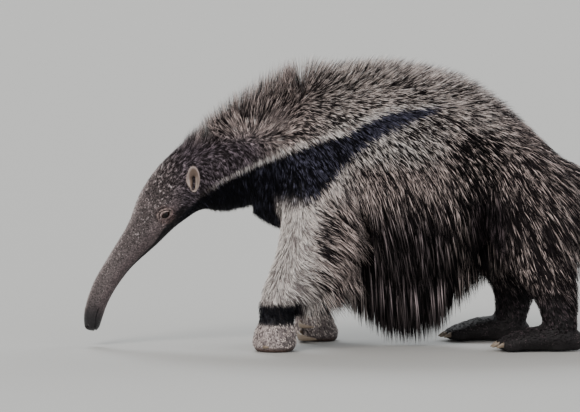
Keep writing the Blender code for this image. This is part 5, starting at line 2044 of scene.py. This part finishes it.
@dataclass
class Ears:
    """Two small oval ears: thin cups with a rolled rim, a ridge at the back and short hair.

    behind, outward and above place them from the head's section at the ear, and lean and turn tilt them.
    """

    anatomy: Anatomy
    behind: float = 0.0145
    outward: float = 0.0040
    above: float = 0.0085
    stands_out: float = 0.0085
    half_height: float = 0.0250
    half_length: float = 0.0104
    depth: float = 0.0105
    wall: float = 0.0022
    lean: float = math.radians(14)
    turn: float = math.radians(14)
    around: int = 72
    steps: int = 18
    fur_density: float = 120e4
    seed: int = 12

    def build(self, skin: bpy.types.Material, hair: bpy.types.Material) -> None:
        """Adds both ears and their hair.

        Args:
            skin: the ear's skin.
            hair: the hair.
        """
        random = np.random.default_rng(self.seed)
        for side in SIDES:
            mesh = self._cup(side)
            surface = Surface.of(mesh)
            centre, fore, up, _ = self._axes(side)
            colour, _, _ = self._paint(surface.points, centre, fore, up)
            set_colour(mesh, colour)
            set_value(mesh, "Bare", np.zeros(len(colour)))
            mesh.transform(Matrix.Translation(Vector(self.anatomy.shift)))
            add_piece(f"ear_cup_{side}", mesh, skin, [f"ear_{side}"])
            self._fur(surface, side, hair, random)

    def _axes(self, side: str) -> tuple[Array, Array, Array, Array]:
        """The ear's centre and its directions to the back, up and out.

        Args:
            side: left or right.

        Returns:
            The centre and three unit vectors.
        """
        sign = SIDES[side]
        values = self.anatomy.spine.read([self.anatomy.place("ear")])[0][0]
        turn = Matrix.Rotation(-sign * self.lean, 3, "X") @ Matrix.Rotation(sign * self.turn, 3, "Z")
        beside = sign * (values[5] + self.outward)
        centre = np.array([values[0] + self.behind, beside, values[2] + self.above])
        axes = [np.array(turn @ Vector(v)) for v in ((1, 0, 0), (0, 0, 1), (0, sign, 0))]
        return centre, *axes

    def _cup(self, side: str) -> bpy.types.Mesh:
        """The cup as a closed shell.

        Args:
            side: left or right.

        Returns:
            Its mesh, in the design frame.
        """
        centre, fore, up, out = self._axes(side)
        angles = np.arange(self.around) * 2 * math.pi / self.around
        rings = []
        lobe = np.exp(-(((angles - 3.25) / 0.36) ** 2))
        edge = 1.0 + 0.04 * np.cos(angles - 2.4) + 0.03 * np.sin(3 * angles) + 0.34 * lobe
        profile = [(r, 0.0) for r in np.linspace(0.05, 1.0, self.steps)] + [(1.05, 0.30), (1.07, 0.65)]
        profile += [(r, 1.0) for r in np.linspace(1.03, 0.10, self.steps)]
        for r, shell in profile:
            x, z = np.cos(angles) * r, np.sin(angles) * r
            sink = 0.45 * self.depth * (1 - min(r, 1.0) ** 2.4)
            sink = sink + 0.95 * self.depth * self._slit(x, z) * (1 - shell)
            ridge = np.exp(-(((x - 0.42) / 0.24) ** 2)) * ramp(0.30, -0.15, z) * ramp(1.0, 0.8, r)
            sink = sink - 0.0034 * ridge * (1 - shell)
            sink = sink + (self.wall * (1.0 + 0.6 * (1 - min(r, 1.0))) + self.depth * 0.5 * (r < 0.9)) * shell
            lift = 0.0035 * z - 0.0030 * x - 0.0030 * lobe * r
            places = np.outer(self.half_length * x * edge, fore) + np.outer(self.half_height * z * edge, up)
            rings.append(centre + places + np.outer(self.stands_out + lift - sink, out))
        return from_bmesh(f"ear_{side}", closed_rings(rings))

    @staticmethod
    def _slit(x: Array, z: Array) -> Array:
        """How much a place lies in the slit that leads into the ear.

        Args:
            x: how far back it lies, from -1 to 1.
            z: how high it lies, from -1 to 1.

        Returns:
            Shares from 0 to 1.
        """
        middle = -0.18 + 0.10 * (z + 0.4)
        return np.exp(-(((x - middle) / 0.20) ** 2)) * ramp(0.30, -0.05, z) * ramp(-0.98, -0.80, z)

    def _paint(self, p: Array, centre: Array, fore: Array, up: Array) -> tuple[Array, Array, Array]:
        """Colours the ear: tan brown inside with a paler ridge and cream at the rim, darker towards the middle
        of the cup and dark in the slit as painted shade.

        Args:
            p: points on the ear.
            centre: its centre.
            fore: the direction to the back.
            up: the direction up.

        Returns:
            The colours, how near each point is to the rim and how much it lies in the slit.
        """
        away = p - centre
        x, z = away @ fore / self.half_length, away @ up / self.half_height
        spread, slit = np.hypot(x, z), self._slit(x, z)
        rim = ramp(0.80, 0.98, spread)
        ridge = np.exp(-(((x - 0.42) / 0.28) ** 2)) * ramp(0.35, -0.15, z)
        colour = mix(np.tile(linear(Tone.EAR_INSIDE), (len(p), 1)), linear(Tone.EAR_RIDGE)[None], ridge)
        # Darker towards the middle of the cup: painted shade in its hollow.
        colour = colour * (0.55 + 0.4 * ramp(0.2, 0.9, spread))[:, None]
        colour = mix(colour, linear(Tone.TAN)[None], rim * 0.7)
        # The slit is darkened as painted shade.
        return mix(colour, linear(Tone.EAR_SLIT)[None], np.clip(slit * 1.3, 0, 1)), rim, slit

    def _fur(
        self, surface: Surface, side: str, hair: bpy.types.Material, random: np.random.Generator
    ) -> None:
        """Covers an ear in short hair, longest along its rim.

        Args:
            surface: the ear's surface.
            side: left or right.
            hair: the material.
            random: the source of chance.
        """
        centre, fore, up, out = self._axes(side)
        roots, normals = surface.scatter(lambda p, n: np.full(len(p), self.fur_density), random)
        slit = self._paint(roots, centre, fore, up)[2]
        kept = (slit < 0.25) | (normals @ out < 0)
        roots, normals = roots[kept], normals[kept]
        away = roots - centre
        radial = unit(np.outer(away @ fore, fore) + np.outer(away @ up, up))
        base, rim, _ = self._paint(roots, centre, fore, up)
        lie = unit(radial + up * 0.5)
        lie = unit(lie - normals * dot(lie, normals)[:, None])
        count = len(roots)
        behind = normals @ out < 0
        length = mix_values(np.full(count, 0.0022), 0.0030, rim) * random.uniform(0.7, 1.2, count)
        brown, tan = np.tile(linear(Tone.DARK_BROWN), (count, 1)), linear(Tone.TAN)[None]
        base = np.where(behind[:, None], mix(brown, tan, random.random(count) * 0.6), base)
        base = base * random.uniform(0.6, 1.3, (count, 1))
        tufts = Tufts(
            roots=roots,
            normals=normals,
            lie=lie,
            length=length,
            wide=np.full(count, 0.0006),
            stand=np.full(count, 0.25),
            droop=np.zeros(count),
            colours=(base, base, base),
            unwrap=np.clip(np.stack([0.5 + away @ fore / 0.08, 0.5 + away @ up / 0.08], axis=1), 0.01, 0.99),
            gather=np.zeros((count, 3)),
            bend=np.full(count, 0.42),
        )
        mesh = tufts.mesh(f"ear_hair_{side}", SPIKE, self.anatomy.shift)
        add_piece(f"ear_hair_{side}", mesh, hair, smooth=False)
        LOG.info("ear_%s: %d tufts", side, count)


@dataclass(frozen=True)
class ForeClaw:
    """A fore claw: its digit, how far forward and how high it starts, its size, and how far in it starts."""

    digit: str
    forward: float
    z: float
    length: float
    thick: float
    inward: float


@dataclass(frozen=True)
class Horn:
    """A claw: it leaves its root the way start points and bends towards bend."""

    root: Array
    start: tuple[float, float, float]
    bend: tuple[float, float, float]
    length: float
    thick: float
    sides: int = 20
    steps: int = 24

    def mesh(self, name: str, shift: Array) -> bpy.types.Mesh:
        """Builds the claw, oval and ringed by growth.

        Args:
            name: the mesh's name.
            shift: what moves it into the row frame.

        Returns:
            Its mesh, in the row frame.
        """
        rings, grown = [], []
        centre = self.root
        turns = np.arange(self.sides) * 2 * math.pi / self.sides
        for k in range(self.steps + 1):
            t = k / self.steps
            way = unit(np.array(self.start) * (1 - t) + np.array(self.bend) * t)
            side = unit(np.cross(way, [0, 0, 1]))
            over = np.cross(side, way)
            size = self.thick * (1 - t) ** 0.75 * (1 + 0.03 * math.sin(k * 2.1)) + 0.0006
            oval = 0.62 * np.outer(np.cos(turns), side) + np.outer(np.sin(turns), over)
            rings.append(centre + size * oval + shift)
            grown += [t] * self.sides
            centre = centre + way * self.length / self.steps
        mesh = from_bmesh(name, closed_rings(rings))
        set_value(mesh, "Grown", np.array(grown) * 0.6)
        return mesh


@dataclass
class Claws:
    """The claws: long hooks turned back and inward on the fists, and short ones at the hind toes."""

    anatomy: Anatomy
    fore: tuple[ForeClaw, ...] = (
        ForeClaw("inner", 0.018, 0.0490, 0.024, 0.0050, 0.016),
        ForeClaw("second", 0.026, 0.0345, 0.058, 0.0075, 0.018),
        ForeClaw("third", 0.030, 0.0130, 0.072, 0.0105, 0.022),
        ForeClaw("outer", 0.020, 0.0120, 0.022, 0.0060, -0.022),
    )
    hind_length: float = 0.022
    hind_thick: float = 0.0062

    def _fore(self, side: str) -> dict[str, Horn]:
        """The claws of a forefoot.

        Args:
            side: left or right.

        Returns:
            Its horns by digit.
        """
        horns, sign = {}, SIDES[side]
        run = self.anatomy.legs["fore", side]
        for claw in self.fore:
            x, y = run.read(run.at_height([claw.z]))[0][0, :2]
            root = np.array([x - claw.forward, y - sign * claw.inward, claw.z])
            inner = -sign if claw.inward > 0 else sign
            start, bend = (-0.35, inner, -0.05), (1.0, inner * 0.10, -0.04)
            horns[claw.digit] = Horn(root, start, bend, claw.length, claw.thick)
        return horns

    def _hind(self, side: str) -> dict[str, Horn]:
        """The claws of a hind foot.

        Args:
            side: left or right.

        Returns:
            Its horns by digit, from 1.
        """
        horns = {}
        for number in range(TOES):
            across, toe = self.anatomy.toe(side, number)
            root = toe + np.array([-0.012, 0.0, 0.0140])
            start, bend = (-1, 0.15 * across, 0.02), (-0.8, 0.1 * across, -0.55)
            horns[str(number + 1)] = Horn(root, start, bend, self.hind_length, self.hind_thick)
        return horns

    def build(self, material: bpy.types.Material) -> None:
        """Adds every claw.

        Args:
            material: the horn.
        """
        count = 0
        for side in SIDES:
            for kind, horns in (("fore", self._fore(side)), ("hind", self._hind(side))):
                for digit, horn in horns.items():
                    mesh = horn.mesh(f"claw_{side}_{digit}", self.anatomy.shift)
                    name, solid = f"{kind}_horn_{side}_{digit}", f"{kind}claw_{side}_{digit}"
                    add_piece(name, mesh, material, [solid])
                    count += 1
        LOG.info("claws: %d", count)


@dataclass(frozen=True)
class Lamp:
    """A large far lamp: where its light comes from, how bright it is, how wide it looks, and its colour."""

    name: str
    place: tuple[float, float, float]
    strength: float
    wide: float
    colour: str = "#ffffff"


@dataclass
class Studio:
    """A pale floor, soft lights and the camera at the photograph's side-on angle."""

    anatomy: Anatomy
    lens: float = 226.0
    distance: float = 7.0
    rise: float = math.radians(3.5)
    aim: tuple[float, float, float] = (-0.0192, 0.0, 0.2692)
    backdrop: float = 0.72
    floor_half: float = 900.0
    floor_below: float = 0.0004
    lamps: tuple[Lamp, ...] = (
        Lamp("key", (-1.6, -2.9, 2.5), 2.25, 0.50, "#fff8f2"),
        Lamp("fill", (2.6, -2.4, 1.4), 0.50, 0.90, "#eef3ff"),
        Lamp("rim", (-0.6, 2.4, 2.6), 1.60, 0.45, "#f6fbff"),
        Lamp("rim_back", (2.4, 2.2, 1.9), 0.80, 0.60, "#f6fbff"),
    )

    def build(self) -> None:
        """Adds the floor, the backdrop light, the lamps and the camera."""
        shift = Vector(self.anatomy.shift)
        floor = bpy.data.meshes.new("floor")
        half = self.floor_half
        corners = [(x * half, y * half, 0) for x, y in ((-1, -1), (1, -1), (1, 1), (-1, 1))]
        floor.from_pydata(corners, [], [(0, 1, 2, 3)])
        floor.materials.append(Plain("pale_matt_floor", Tone.FLOOR).make())
        slab = bpy.data.objects.new("floor", floor)
        slab.location.z = -self.floor_below
        bpy.context.scene.collection.objects.link(slab)
        world = bpy.data.worlds.new("studio")
        world.use_nodes = True
        sky = world.node_tree.nodes["Background"].inputs
        sky["Color"].default_value = rgba(Tone.BACKDROP)
        sky["Strength"].default_value = self.backdrop
        bpy.context.scene.world = world
        for lamp in self.lamps:
            light = bpy.data.lights.new(lamp.name, "SUN")
            light.angle, light.energy = lamp.wide, lamp.strength
            light.color = tuple(linear(lamp.colour))
            obj = bpy.data.objects.new(lamp.name, light)
            obj.location = Vector(lamp.place) + shift
            obj.rotation_euler = (-Vector(lamp.place)).to_track_quat("-Z", "Y").to_euler()
            bpy.context.scene.collection.objects.link(obj)
        data = bpy.data.cameras.new("camera")
        data.lens, data.sensor_width = self.lens, 36.0
        data.clip_start, data.clip_end = 0.1, 3000.0
        camera = bpy.data.objects.new("camera", data)
        aim = Vector(self.aim) + shift
        camera.location = aim + Vector((0, -math.cos(self.rise), math.sin(self.rise))) * self.distance
        camera.rotation_euler = (aim - camera.location).to_track_quat("-Z", "Y").to_euler()
        bpy.context.scene.collection.objects.link(camera)
        bpy.context.scene.camera = camera
        LOG.info("studio: %d lamps", len(self.lamps))


def main() -> None:
    """Builds the animal and the studio, piece by piece."""
    anatomy, markings = Anatomy(), Markings()
    hide, hair = HairedHide().make(), CoarseHair().make()
    skin = Skin(anatomy, markings)
    skin.build()
    Coat(anatomy, markings, skin.surface, plenty=1.0).grow(hair)
    skin.dress(hide)
    Eyes(anatomy).build(WetEye().make())
    thin = HairedHide(name="thin_ear_skin", grain_mm=0.5, speckle=(0.80, 1.12))
    Ears(anatomy).build(thin.make(), hair)
    Claws(anatomy).build(WornHorn().make())
    Studio(anatomy).build()


if __name__ == "__main__":
    logging.basicConfig(level=logging.INFO, format="%(message)s")
    main()
